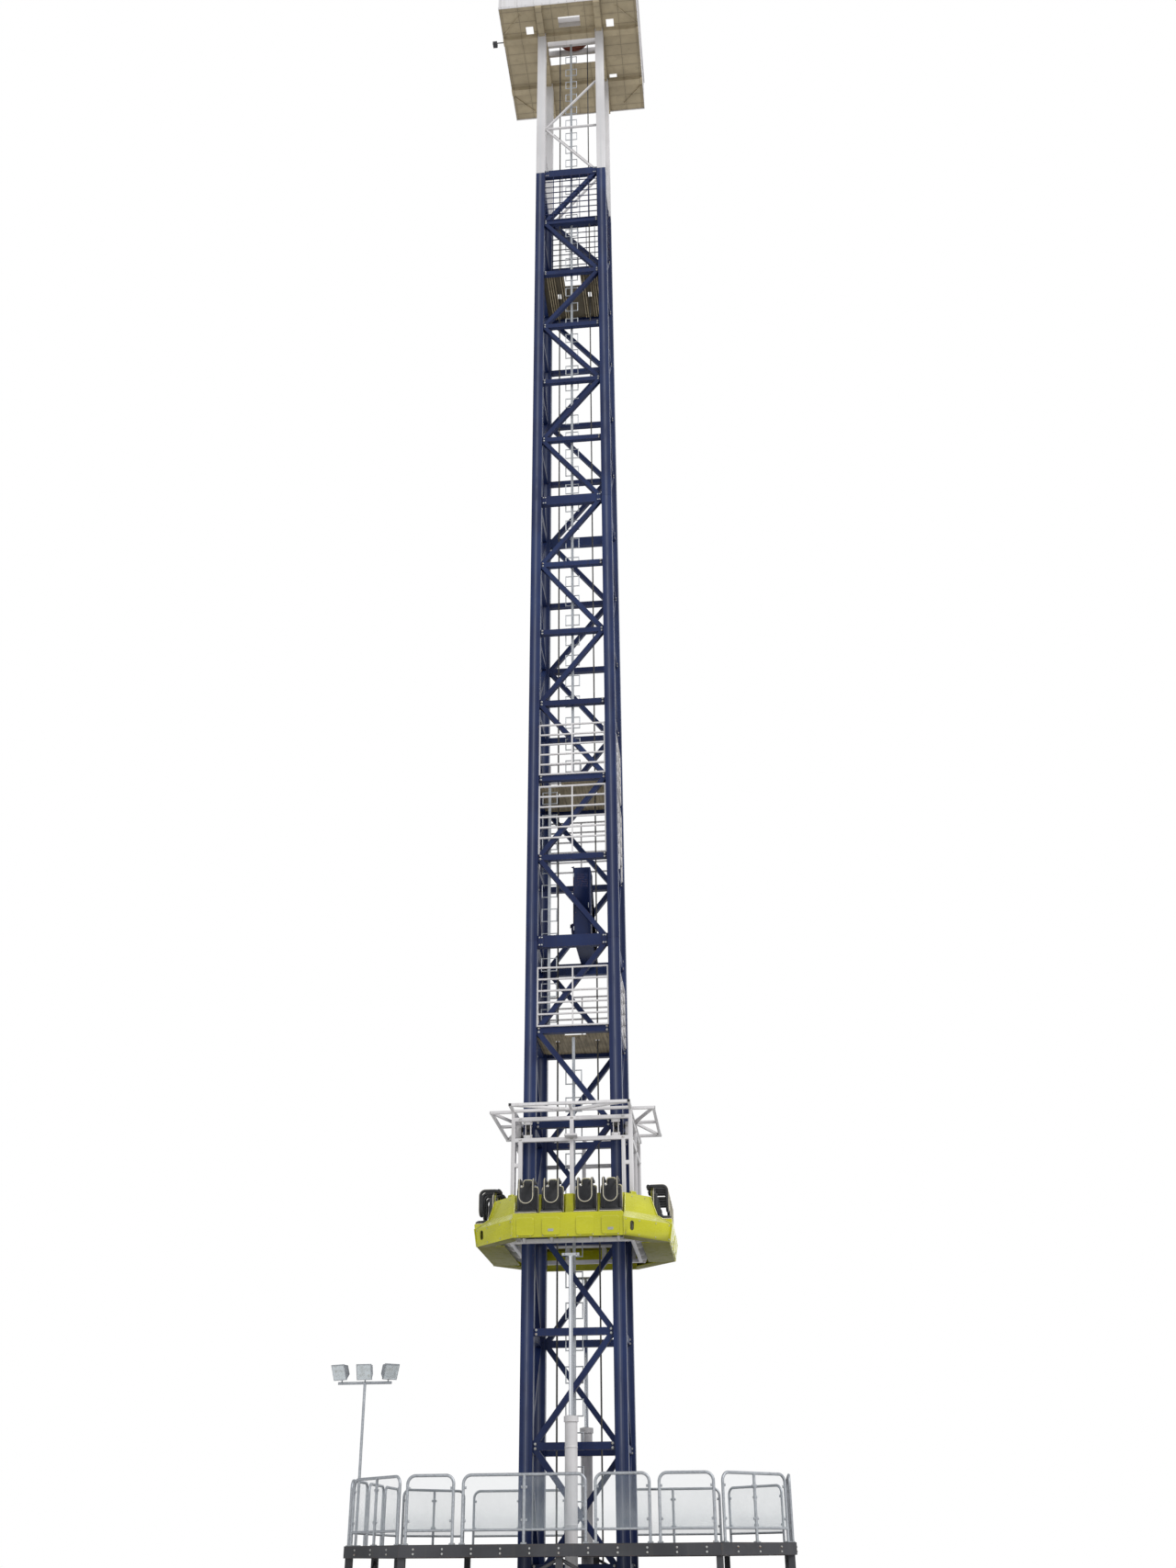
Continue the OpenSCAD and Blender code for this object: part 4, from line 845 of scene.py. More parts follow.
class RIDE_OT_stage(bpy.types.Operator):
    """Sets the pale floor, the soft light and the photograph's camera"""

    bl_idname = "ride.stage"
    bl_label = "Stage"

    def execute(self, context):
        self.floor()
        self.light(context.scene)
        self.camera(context.scene)
        return {"FINISHED"}

    def floor(self):
        """Pale floor under the feet of the deck."""
        deselect()
        bpy.ops.mesh.primitive_plane_add(size=160, location=(0, 0, -0.002))
        floor = settle(bpy.context.object)
        floor.name = "floor"
        f = Finish("Floor", Roughness=0.8)
        pale = f.coats((0.74, 0.74, 0.74), (f.noise(0.4, 3.0), (0.80, 0.80, 0.79)))
        f.tree.links.new(pale.socket, f.shader.inputs["Base Color"])
        floor.data.materials.append(f.material)
        floor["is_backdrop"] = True

    def light(self, scene):
        """Even sky light, white where the camera sees it, with one large soft lamp from the right."""
        world = bpy.data.worlds.new("sky")
        scene.world = world
        world.use_nodes = True
        nodes = world.node_tree.nodes
        soft, plain = nodes["Background"], nodes.new("ShaderNodeBackground")
        soft.inputs["Color"].default_value = (0.93, 0.96, 1.0, 1.0)
        soft.inputs["Strength"].default_value = 0.62
        plain.inputs["Color"].default_value = (1.0, 1.0, 1.0, 1.0)
        path, either = nodes.new("ShaderNodeLightPath"), nodes.new("ShaderNodeMath")
        either.operation = "MAXIMUM"
        choose = nodes.new("ShaderNodeMixShader")
        for source, target in (
            (path.outputs["Is Camera Ray"], either.inputs[0]),
            (path.outputs["Is Transmission Ray"], either.inputs[1]),
            (either.outputs[0], choose.inputs[0]),
            (soft.outputs[0], choose.inputs[1]),
            (plain.outputs[0], choose.inputs[2]),
            (choose.outputs[0], nodes["World Output"].inputs["Surface"]),
        ):
            world.node_tree.links.new(source, target)
        for name, energy, width, source in (
            ("key", 2.0, 28, (0.80, -0.62, 0.75)),
            ("fill", 0.55, 60, (-0.70, -0.75, 0.35)),
            ("rear", 0.45, 60, (0.10, 0.90, 0.45)),
        ):
            lamp = bpy.data.lights.new(name, "SUN")
            lamp.energy = energy
            lamp.angle = math.radians(width)
            holder = bpy.data.objects.new(name, lamp)
            holder.rotation_mode = "QUATERNION"
            holder.rotation_quaternion = Vector(source).to_track_quat("Z", "Y")
            scene.collection.objects.link(holder)

    def camera(self, scene):
        """Camera at the photograph's standpoint; the frame is 1280 by 1707."""
        view = settings()[2]
        data = bpy.data.cameras.new("camera")
        data.sensor_width = 36
        data.sensor_fit = "AUTO"
        data.lens = view.lens
        data.clip_start = 0.05
        data.clip_end = 400
        ahead = Vector((-math.sin(view.yaw), math.cos(view.yaw), 0))
        right = Vector((math.cos(view.yaw), math.sin(view.yaw), 0))
        up = Vector((0, 0, 1))
        look = ahead * math.cos(view.pitch) + up * math.sin(view.pitch)
        top = up * math.cos(view.pitch) - ahead * math.sin(view.pitch)
        across = right * math.cos(view.roll) - top * math.sin(view.roll)
        above = right * math.sin(view.roll) + top * math.cos(view.roll)
        turn = Matrix((across, above, -look)).transposed().to_4x4()
        holder = bpy.data.objects.new("camera", data)
        holder.matrix_world = Matrix.Translation(view.place) @ turn
        scene.collection.objects.link(holder)
        scene.camera = holder


class RIDE_OT_tower(bpy.types.Operator):
    """Rounds the box columns and bolts the bracing to them"""

    bl_idname = "ride.tower"
    bl_label = "Tower"

    def execute(self, context):
        for part in ("lower", "middle", "upper", "top"):
            node = part + "_columns"
            slot, finish = ("white", "white_column") if part == "top" else ("blue", "column")
            soft_copy(node, node + "_rolled", "tower", slot, 9, finish, 3)
        spots, top_spots = [], []
        for turn in SIDE_TURNS:
            for k in range(BLUE_BAYS + 1):
                heavy = k in JOINT_LEVELS
                for x in (-375, -348, 348, 375) if heavy else (-375, 375):
                    for dz in (-44, 44) if heavy else (-20, 20):
                        spots.append(spot(turn, x, -BRACE_OUT, level_z(k) + dz))
            for x in (-388, -368, 368, 388):
                top_spots.append(spot(turn, x, -TOP_BRACE_OUT, level_z(BLUE_BAYS + 1)))
        sizes = settings()[1]
        bolts("bracing_bolts", sizes.bolt, "tower", spots)
        bolts("top_bracing_bolts", sizes.small_bolt, "tower", top_spots)
        self.joint_plates()
        self.ribbed_floor()
        return {"FINISHED"}

    def ribbed_floor(self):
        """Folded ribs under the upper floor, open round the hatch."""
        low = level_z(RIBBED_LEVEL) + 11
        rib = block((-7, -425, low - 26), (7, 425, low + 1))
        taper(rib, "-z", 0.75, 0.985, (0, 0, low))
        places = [shift(s * x, 0, 0) for s in (-1, 1) for x in range(134, 390, 32) if not 192 < x < 258]
        finish_piece(copies(rib, places), "floor_ribs", "tower", "beige")

    def joint_plates(self):
        """Splice plates on the heavy bars at each column joint."""
        plates = []
        for k in JOINT_LEVELS:
            for x in (-399, 333):
                low = level_z(k) - 62
                plate = block((x, -BRACE_OUT - 6, low), (x + 66, -BRACE_OUT, low + 124))
                plates.append(sink(plate, "-y", 5, 2))
        finish_piece(copies(join(plates), SIDE_TURNS), "splice_plates", "tower", "blue")


class RIDE_OT_cabinet(bpy.types.Operator):
    """Gives the drive cabinet its recessed doors, louvres, hinges and handles"""

    bl_idname = "ride.cabinet"
    bl_label = "Drive cabinet"

    def execute(self, context):
        shell = soft_copy("drive_cabinet", "drive_cabinet_shell", "tower", "blue", 3)
        front, foot = -425, 7200
        for way in ("-y", "+y", "+x"):
            sink(shell, lambda c, n, door=facing(way): door(c, n) and c.z > foot, 12, -3)
        heights = range(foot + 460, foot + 640, 20)
        slats = [block((30, front - 8, z), (170, front, z + 9)) for z in heights]
        slats = [sink(slat, "-y", 2.5, -1) for slat in slats]
        finish_piece(slats, "cabinet_louvres", "tower", "blue")
        hinges = [post((8, front - 7, foot + z), 5, 46, 12) for z in (-50, 280, 610)]
        fittings = [sink(hinge, "z", 1.2, 1.2) for hinge in hinges]
        handle = ((6, 200), (7.5, 208), (7.5, 252), (6, 260))
        fittings.append(tube([(176, front - out, foot + z) for out, z in handle], 4))
        finish_piece(fittings, "cabinet_fittings", "tower", "galvanised")
        return {"FINISHED"}


class RIDE_OT_platform(bpy.types.Operator):
    """Finishes the top platform: capping, drip trim, fascia joints and braces"""

    bl_idname = "ride.platform"
    bl_label = "Top platform"

    def execute(self, context):
        half_x, half_y = PLATFORM[0] / 2, PLATFORM[1] / 2
        low, high = PLATFORM_Z + 37, PLATFORM_Z + 615
        drip, drip_top = PLATFORM_Z - 22, PLATFORM_Z + 34
        strips, spots = [], []
        for s in (-1, 1):
            x, y = s * half_x, s * half_y
            strips.append(((-half_x - 4, y - 18, high), (half_x + 4, y + 18, high + 6)))
            strips.append(((x - 18, -half_y + 19, high), (x + 18, half_y - 19, high + 6)))
            x, y = (v + s - 4 * (s > 0) for v in (x, y))
            strips.append(((-half_x - 4, y, drip), (half_x + 4, y + 4, drip_top)))
            strips.append(((x, -half_y, drip), (x + 4, half_y, drip_top)))
            x, y = (s * v - 3 * (s < 0) for v in (half_x, half_y))
            for i in range(9):
                along = [-v + 27 + i * (2 * v - 60) / 8 for v in (half_x, half_y)]
                strips.append(((along[0], y, low), (along[0] + 6, y + 3, high - 2)))
                strips.append(((x, along[1], low), (x + 3, along[1] + 6, high - 2)))
            for i in range(17):
                along = [-v + 40 + i * (2 * v - 80) / 16 for v in (half_x, half_y)]
                spots.append(((along[0], s * (half_y + 1), PLATFORM_Z + 8), (0, s, 0)))
                spots.append(((s * (half_x + 1), along[1], PLATFORM_Z + 8), (s, 0, 0)))
        trims = [rounded(block(*strip), 0.8, 1) for strip in strips]
        finish_piece(trims, "fascia_trims", "tower", "white", "fascia")
        bolts("fascia_screws", settings()[1].small_bolt, "tower", spots)
        self.corner_braces()
        return {"FINISHED"}

    def corner_braces(self):
        """Folded braces across the four corner bays of the floor's underside."""
        near, far = Vector((1068, 580)), Vector((762, 896))
        span = (far - near).length / 2
        brace = block((-13, -span, -20), (13, span, 1))
        taper(brace, "-z", 0.5, 0.97, (0, 0, -20))
        middle = (near + far) / 2
        lean = math.atan2(far.y - near.y, far.x - near.x) - math.pi / 2
        places = []
        for sx, sy in product((-1, 1), (-1, 1)):
            turn = Matrix.Rotation(lean * sx * sy, 4, "Z")
            places.append(shift(sx * middle.x, sy * middle.y, PLATFORM_Z) @ turn)
        finish_piece(copies(brace, places), "corner_braces", "tower", "beige")


class RIDE_OT_headgear(bpy.types.Operator):
    """Adds the bearing caps, bolts and rope keepers of the head sheave"""

    bl_idname = "ride.headgear"
    bl_label = "Head sheave"

    def execute(self, context):
        soft_copy("machine_beams", "machine_beams_welded", "tower", "white", 2)
        beam_top, rope_x = HEAD_Z + 120, 252
        spots, caps, keepers = [], [], []
        for s in (-1, 1):
            for x, dz in product((-48, 48), (30, 80)):
                spots.append(((x, s * 106.5, beam_top + dz), (0, s, 0)))
            for x in (-440, -410, 410, 440):
                spots.append(((x, s * 85, beam_top), (0, 0, 1)))
        bolts("bearing_bolts", settings()[1].bolt, "tower", spots)
        for s in (-1, 1):
            cap = post((0, s * 125, SHEAVE_Z), 38, 6, 24, "Y")
            caps.append(sink(cap, "+y" if s > 0 else "-y", 8, -2))
            x = s * rope_x
            keepers.append(tube([(x, y, SHEAVE_Z - 40) for y in (-106, 106)], 6))
            plate = block((x - 9, -70, SHEAVE_Z - 160), (x + 9, -62, SHEAVE_Z - 34))
            keepers.append(sink(plate, "y", 2, 1))
        finish_piece(caps, "shaft_caps", "sheave", "oxide")
        finish_piece(keepers, "rope_keepers", "tower", "white")
        return {"FINISHED"}


def smooth_path(points, radius, steps=5):
    """Points of a polyline with its corners rounded by a radius, in millimetres."""
    points = [Vector(point) for point in points]
    made = [points[0]]
    for before, corner, after in zip(points, points[1:], points[2:]):
        back, ahead = (before - corner).normalized(), (after - corner).normalized()
        reach = radius / math.tan(back.angle(ahead) / 2)
        reach = min(reach, (before - corner).length * 0.49, (after - corner).length * 0.49)
        start, end = corner + back * reach, corner + ahead * reach
        for i in range(steps + 1):
            t = i / steps
            made.append(start * (1 - t) ** 2 + corner * 2 * t * (1 - t) + end * t * t)
    return made + [points[-1]]


def slab(low, high, radius, depth, edge, ahead=0):
    """Upright pad between two (x, z) corners, with round corners and rolled edges, about y = ahead."""
    (x0, z0), (x1, z1) = low, high
    corners = [(x0, z0, 0), (x1, z0, 0), (x1, z1, 0), (x0, z1, 0)]
    ring = smooth_path(corners[-1:] + corners + corners[:1], radius, 6)[1:-1]
    flat = {"dimensions": "2D", "fill_mode": "BOTH", "extrude": (depth / 2 - edge) * MM}
    rolled = {"bevel_depth": edge * MM, "bevel_resolution": 2, "offset": -edge * MM}
    pad = wire(ring, "pad", True, **flat, **rolled)
    pad.rotation_euler = (math.pi / 2, 0, 0)
    settle(pad).data.transform(shift(0, ahead, 0))
    return pad


def inflate(obj, cap, voxel):
    """Foam form: remeshed and blown up a little as cloth, each point by no more than a cap."""
    apply_modifier(obj, "REMESH", mode="VOXEL", voxel_size=voxel * MM, use_smooth_shade=True)
    rest = [v.co.copy() for v in obj.data.vertices]
    select([obj])
    cloth = obj.modifiers.new("Foam", "CLOTH")
    cloth.settings.use_pressure = True
    cloth.settings.uniform_pressure_force = 3.0
    cloth.settings.tension_stiffness = 40
    cloth.settings.compression_stiffness = 40
    cloth.settings.bending_stiffness = 4
    cloth.settings.effector_weights.gravity = 0
    cloth.collision_settings.use_collision = False
    scene = bpy.context.scene
    for step in range(settings()[1].cloth_steps):
        scene.frame_set(step + 1)
    bpy.ops.object.modifier_apply(modifier="Foam")
    for vertex, start in zip(obj.data.vertices, rest):
        move = vertex.co - start
        if move.length > cap * MM:
            vertex.co = start + move.normalized() * cap * MM
    scene.frame_set(1)
    return obj


def seat_places():
    """Name pattern and place of each seat, for a piece made at the middle of the front row."""
    return [
        ("%s_%%s_%d" % (side, n + 1), turn @ shift(x, 0, RING_Z))
        for side, turn in zip(SIDES, SIDE_TURNS)
        for n, x in enumerate(SEAT_X)
    ]


class RIDE_OT_seats(bpy.types.Operator):
    """Models one foam cushion and one foam back with beading, and sets them on the sixteen seats"""

    bl_idname = "ride.seats"
    bl_label = "Seats"

    def execute(self, context):
        names, places = zip(*seat_places())
        for model, part, node in (
            (self.cushion(), "seat_pad", "seat_cushions"),
            (self.back(), "back_pad", "seat_backs"),
        ):
            pads = copies(model, places)
            for name, pad in zip(names, pads):
                finish_piece([pad], name % part, "carriage", "black")
            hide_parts(node)
        finish_piece(copies(self.beading(), places), "seat_beading", "carriage", "yellow", "piping")
        finish_piece(copies(self.ears(), places), "shaft_ears", "carriage", "black", "dark")
        finish_piece(copies(self.back_shell(), places), "back_shells", "carriage", "yellow")
        return {"FINISHED"}

    def cushion(self):
        """Seat cushion: a crowned pad with a rolled nose, raised sides and a shallow seat hollow."""
        front, back = RING_HALF - 6, BACK_IN + 52
        pad = block((-107, -front, SEAT_BASE + 1), (107, -back, SEAT_BASE + 30))
        open_edit(pad)
        bpy.ops.mesh.subdivide(number_cuts=15)
        close_edit()
        for vertex in pad.data.vertices:
            x, y, z = vertex.co / MM
            if z < SEAT_BASE + 5:
                continue
            across = abs(x) / 107
            along = (-y - back) / (front - back)
            raised = 14 * max(0.0, (across - 0.62) / 0.38) ** 1.3 * (1 - 0.65 * along**2)
            hollow = 5 * math.cos(min(1.0, across / 0.66) * math.pi / 2)
            hollow *= math.sin(math.pi * min(1, along * 1.1))
            nose = 12 * max(0.0, (along - 0.80) / 0.20) ** 2
            waist = 1 - 0.02 * math.sin(math.pi * along)
            vertex.co = Vector((x * waist, y, z + raised - hollow - nose)) * MM
        return inflate(rounded(pad, 7, 3, 50), 4, 6.5)

    def back(self):
        """Seat back: shoulders, headrest, lumbar pad and side wings in one foam form."""
        low = SEAT_BASE + 4
        parts = [
            slab((-106, low), (106, low + 292), 34, 34, 9),
            slab((-44, low + 240), (44, low + 364), 28, 34, 9),
            slab((-62, low + 24), (62, low + 84), 26, 16, 7, -16),
        ]
        parts += [slab((x - 13, low + 54), (x + 13, low + 262), 12, 52, 9, -20) for x in (-92, 92)]
        pad = join(parts)
        pad.data.transform(shift(0, -(BACK_IN + 28), 0))
        return inflate(pad, 4, 7.5)

    def beading(self):
        """Cream beading round the shoulders and headrest and along the cushion's edge."""
        radius = settings()[1].beading / MM / 2
        plane, low = -(BACK_IN + 32), SEAT_BASE + 4
        line = [(-107, 40), (-107, 294), (-46, 294), (-46, 366), (46, 366), (46, 294), (107, 294), (107, 40)]
        top = tube(smooth_path([(x, plane, low + z) for x, z in line], 27), radius)
        back, front = -(BACK_IN + 60), -(RING_HALF - 7)
        line = [(-109, back), (-109, front), (109, front), (109, back)]
        nose = tube(smooth_path([(x, y, SEAT_BASE + 8) for x, y in line], 16), radius * 0.8)
        return join([top, nose])

    def ears(self):
        """Two steel ears with bosses that carry the restraint's shaft."""
        out, height = PIVOT
        pieces = []
        for x in (-34, 34):
            ear = block((x - 7, -(BACK_IN + 7.5), height - 21), (x + 7, -(out - 2), height + 21))
            boss = sink(post((x, -out, height), 21.5, 15.5, 28, "X"), "x", 5, -1.2)
            pieces += [rounded(ear, 1.5, 1), boss]
        return join(pieces)

    def back_shell(self):
        """Thin moulded shell behind each back's foam."""
        low = SEAT_BASE + 2
        plate = slab((-109, low + 2), (109, low + 297), 35, 5, 1.5)
        head = slab((-45.5, low + 240), (45.5, low + 368), 29, 4.4, 1.5)
        shell = join([plate, head])
        shell.data.transform(shift(0, -(BACK_IN + 11.2), 0))
        return smooth(shell)


class RIDE_OT_restraints(bpy.types.Operator):
    """Models one over-shoulder restraint and hangs it on the sixteen shafts"""

    bl_idname = "ride.restraints"
    bl_label = "Restraints"

    def execute(self, context):
        names, places = zip(*seat_places())
        for name, piece in zip(names, copies(self.restraint(), places)):
            node = name % "restraint"
            piece.name = piece.data.name = node + "_padded"
            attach(piece, node)
            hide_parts(node)
        return {"FINISHED"}

    def restraint(self):
        """Foam sleeves on a bent tube, cream beading down the front and a steel shaft."""
        half = ARM_SPAN / 2
        path = self.bent(half)
        foam = [self.sweep(path, 15.0, 14.0)]
        for s in (-1, 1):
            arm = [p for p in path if p.x * s > 0 and p.z > LAP_H + half + 10]
            foam.append(self.sweep(arm, 15.8, 15.4))
            knuckle = post((s * half, -PIVOT[0], PIVOT[1]), 15.8, 24, 24, "X")
            foam.append(sink(knuckle, "x", 4, 1.6))
        front = [p for p in path if -p.y > PIVOT[0] + ARM_OUT * 0.35]
        bead = tube([p + self.outward(p) * 15.2 for p in front], 3.4)
        shaft = sink(post((0, -PIVOT[0], PIVOT[1]), 11.5, ARM_SPAN - 4, 20, "X"), "x", 3, 1.5)
        for finish, pieces in (("foam", foam), ("piping", [bead]), ("zinc", [shaft])):
            for piece in pieces:
                piece.data.materials.clear()
                piece.data.materials.append(FINISH[finish])
        return join([foam[0], bead, shaft] + foam[1:])

    def bent(self, half):
        """Centre line: out from the shaft, down the chest and round the lap in a half circle."""
        out, height = PIVOT[0] + ARM_OUT, PIVOT[1]
        top, lap = height - ARM_BEND, LAP_H + half
        arm = [(-PIVOT[0] - i / 4 * (ARM_OUT - ARM_BEND), height) for i in range(5)]
        for i in range(1, 9):
            a = i / 8 * math.pi / 2
            arm.append((-(out - ARM_BEND) - ARM_BEND * math.sin(a), top + ARM_BEND * math.cos(a)))
        arm += [(-out, top + (lap - top) * i / 6) for i in range(1, 7)]
        turns = [i / 16 * math.pi for i in range(1, 16)]
        return (
            [Vector((half, y, z)) for y, z in arm]
            + [Vector((half * math.cos(a), -out, lap - half * math.sin(a))) for a in turns]
            + [Vector((-half, y, z)) for y, z in reversed(arm)]
        )

    def outward(self, point):
        """Way out of the restraint's front at a point: up at the shoulder, forwards on the chest."""
        bend_y, bend_z = ARM_BEND - PIVOT[0] - ARM_OUT, PIVOT[1] - ARM_BEND
        if point.y >= bend_y:
            return Vector((0, 0, 1))
        if point.z >= bend_z:
            return Vector((0, point.y - bend_y, point.z - bend_z)).normalized()
        return Vector((0, -1, 0))

    def sweep(self, path, wide, thick):
        """A soft sleeve of oval section along a path, closed at its ends."""
        sides, last = 14, len(path) - 1
        vertices, faces = [], []
        for i, point in enumerate(path):
            ahead = (path[min(i + 1, last)] - path[max(i - 1, 0)]).normalized()
            front = self.outward(point)
            front = (front - ahead * front.dot(ahead)).normalized()
            aside = ahead.cross(front)
            end = 0.72 if i in (0, last) else 1.0
            for k in range(sides):
                a = 2 * math.pi * k / sides
                size = end * (1 - 0.06 * math.cos(2 * a))
                oval = aside * math.cos(a) * wide + front * math.sin(a) * thick
                vertices.append((point + oval * size) * MM)
            if i:
                start = (i - 1) * sides
                for k in range(sides):
                    a, b = start + k, start + (k + 1) % sides
                    faces.append((a, b, b + sides, a + sides))
        faces.append(tuple(reversed(range(sides))))
        faces.append(tuple(range(last * sides, last * sides + sides)))
        mesh = bpy.data.meshes.new("sleeve")
        mesh.from_pydata(vertices, [], faces)
        obj = bpy.data.objects.new("sleeve", mesh)
        bpy.context.scene.collection.objects.link(obj)
        open_edit(obj)
        bpy.ops.mesh.normals_make_consistent(inside=False)
        close_edit()
        return smooth(obj, 50)


class RIDE_OT_carriage(bpy.types.Operator):
    """Rounds the carriage's tubes and adds tube caps, bolts and axle nuts"""

    bl_idname = "ride.carriage"
    bl_label = "Carriage frame"

    def execute(self, context):
        sizes = settings()[1]
        for node, name, width in (
            ("carriage_frame", "carriage_frame_tubes", 3),
            ("outriggers", "outrigger_tubes", 2.5),
            ("buffer_stops", "buffer_stop_plates", 2),
        ):
            soft_copy(node, name, "carriage", "white", width)
        spots, nuts, caps = [], [], []
        axle, guide_plate, bracket = TOWER_HALF + 40, 622, 540
        for turn in SIDE_TURNS:
            for s, (low, high) in product((-1, 1), GUIDE_UNITS):
                middle = s * COLUMN_C
                for dx, z in product((-34, 34), (low + 17, high - 17)):
                    spots.append(spot(turn, middle + dx, -guide_plate, RING_Z + z))
                for t, z in product((-1, 1), (0.75 * low + 0.25 * high, 0.25 * low + 0.75 * high)):
                    nuts.append(spot(turn, middle + t * 30, -axle, RING_Z + z, normal=(t, 0, 0)))
            for s, dx, z in product((-1, 1), (-9, 9), (30, 200, 450, 1060, 1280)):
                spots.append(spot(turn, s * bracket + dx, -FRAME_HALF, RING_Z + z))
            for x, z in product((-9, 9), (450, 1060, 1280)):
                spots.append(spot(turn, x, -FRAME_HALF, RING_Z + z))
        bolts("carriage_bolts", sizes.small_bolt * 1.2, "carriage", spots)
        end, low = -FRAME_HALF - 242, RING_Z + 1361
        for side, turn in enumerate(SIDE_TURNS):
            half = FRAME_HALF - (55 if side % 2 else 15)
            for x in (-half, half):
                cap = block((x - 14, end, low), (x + 14, end + 3, low + 28))
                sink(cap, "-y", 4, 1.2).data.transform(turn)
                caps.append(cap)
        finish_piece(caps, "tube_caps", "carriage", "black")
        bolts("axle_nuts", sizes.bolt * 0.9, "carriage", nuts)
        return {"FINISHED"}


class RIDE_OT_shells(bpy.types.Operator):
    """Rounds the moulded rows and fairings and adds their fixings, slot rims and plates"""

    bl_idname = "ride.shells"
    bl_label = "Moulded shells"

    def execute(self, context):
        edge = settings()[1].edge / MM * 0.6
        soft_copy("seat_rows", "seat_row_shells", "carriage", "yellow", edge, segments=3)
        soft_copy("corner_fairings", "fairing_shells", "carriage", "yellow", edge, None, 3, self.lower_box)
        lean = math.atan2(BOX_LEAN, BOX_H)
        normal = (0, -math.cos(lean), -math.sin(lean))
        rims, spots, covers = [], [], []
        for side in SIDE_TURNS:
            turn = side @ Matrix.Rotation(math.pi / 4, 4, "Z")
            rims.append(self.slot_rim(turn))
            for x, (z, inset) in product((-290, -110, 110, 290), ((22, 16.2), (156, 4.4))):
                spots.append(spot(turn, x, inset - CORNER_D, RING_Z + z, normal=normal))
            for x in (-250, -80, 90, 250):
                spots.append(spot(turn, x, 143 - CORNER_D, RING_Z + 425, normal=(0, -0.97, 0.23)))
            cover = self.cover()
            cover.data.transform(turn)
            covers.append(cover)
            for x in range(-500, 501, 125):
                spots.append(spot(side, x, 28.4 - RING_HALF, RING_Z + 16, normal=(0, -0.989, -0.15)))
        bolts("shell_screws", settings()[1].small_bolt, "carriage", spots)
        finish_piece(rims, "slot_rims", "carriage", "black", "tyre")
        finish_piece(covers, "corner_covers", "carriage", "yellow")
        self.rims()
        fronts = copies(self.moulding(), [place for _, place in seat_places()])
        finish_piece(fronts, "seat_fronts", "carriage", "yellow")
        plate = sink(block((-27, -9, -12), (27, -6, 12)), "-y", 2.5, -0.5)
        places = product(SIDE_TURNS, SEAT_X[1::2])
        places = [turn @ shift(0, 0, RING_Z) @ self.on_row(x, 66) for turn, x in places]
        finish_piece(copies(plate, places), "skirt_plates", "carriage", "galvanised")
        return {"FINISHED"}

    def lower_box(self, place):
        """Lowers the outer edge of a fairing's shelf, so that the shelf shows from below."""
        if abs(place.z - RING_Z - 202) < 6:
            away = Vector((math.copysign(1, place.x), math.copysign(1, place.y), 0)).normalized()
            return place - Vector((0, 0, 29)) - away * 2.5
        return place

    def rims(self):
        """Moulded beads along both ends of every fairing."""
        path = [(803, 452), (868, 262), (1014, 176), (986, 6)]
        bead = tube([(ROW_LEN / 2 + 6, -y, RING_Z + z) for y, z in path], 6.5, 12)
        mirror = Matrix.Scale(-1, 4, (1, 0, 0))
        ends = product(SIDE_TURNS, (Matrix.Identity(4), mirror))
        beads = copies(bead, [turn @ flip for turn, flip in ends])
        for obj in beads[1::2]:
            obj.data.flip_normals()
        finish_piece(beads, "fairing_rims", "carriage", "yellow")

    def on_row(self, x, z, out=0):
        """Place on the leaning front of a row, from the middle of the ring's underside."""
        y = RING_HALF - ROW_LEAN * (1 - z / ROW_H) + out
        return shift(x, -y, z) @ Matrix.Rotation(math.atan2(ROW_LEAN, ROW_H), 4, "X")

    def moulding(self):
        """Raised front with rounded shoulders under a seat."""
        front = slab((-90, -88), (90, 88), 34, 12, 5)
        front.data.transform(self.on_row(0, 100, 1))
        return front

    def slot_rim(self, turn):
        """Rubber rim round the oval slot of one fairing."""
        line = []
        for i in range(24):
            a = 2 * math.pi * i / 24
            z = BOX_H / 2 + 21 * math.sin(a) + (22.5 if math.sin(a) >= 0 else -22.5)
            y = CORNER_D - BOX_LEAN * (1 - z / BOX_H) + 0.6
            line.append((21 * math.cos(a) - 205, -y, RING_Z + z))
        rim = tube(line, 3, closed=True)
        rim.data.transform(turn)
        return rim

    def cover(self):
        """Small moulded cover on top of a fairing."""
        cover = block((-42, -911, RING_Z + 449), (42, -871, RING_Z + 500))
        taper(cover, "+z", 0.82, 0.7, (0, -885, 0))
        return rounded(cover, 6, 3)


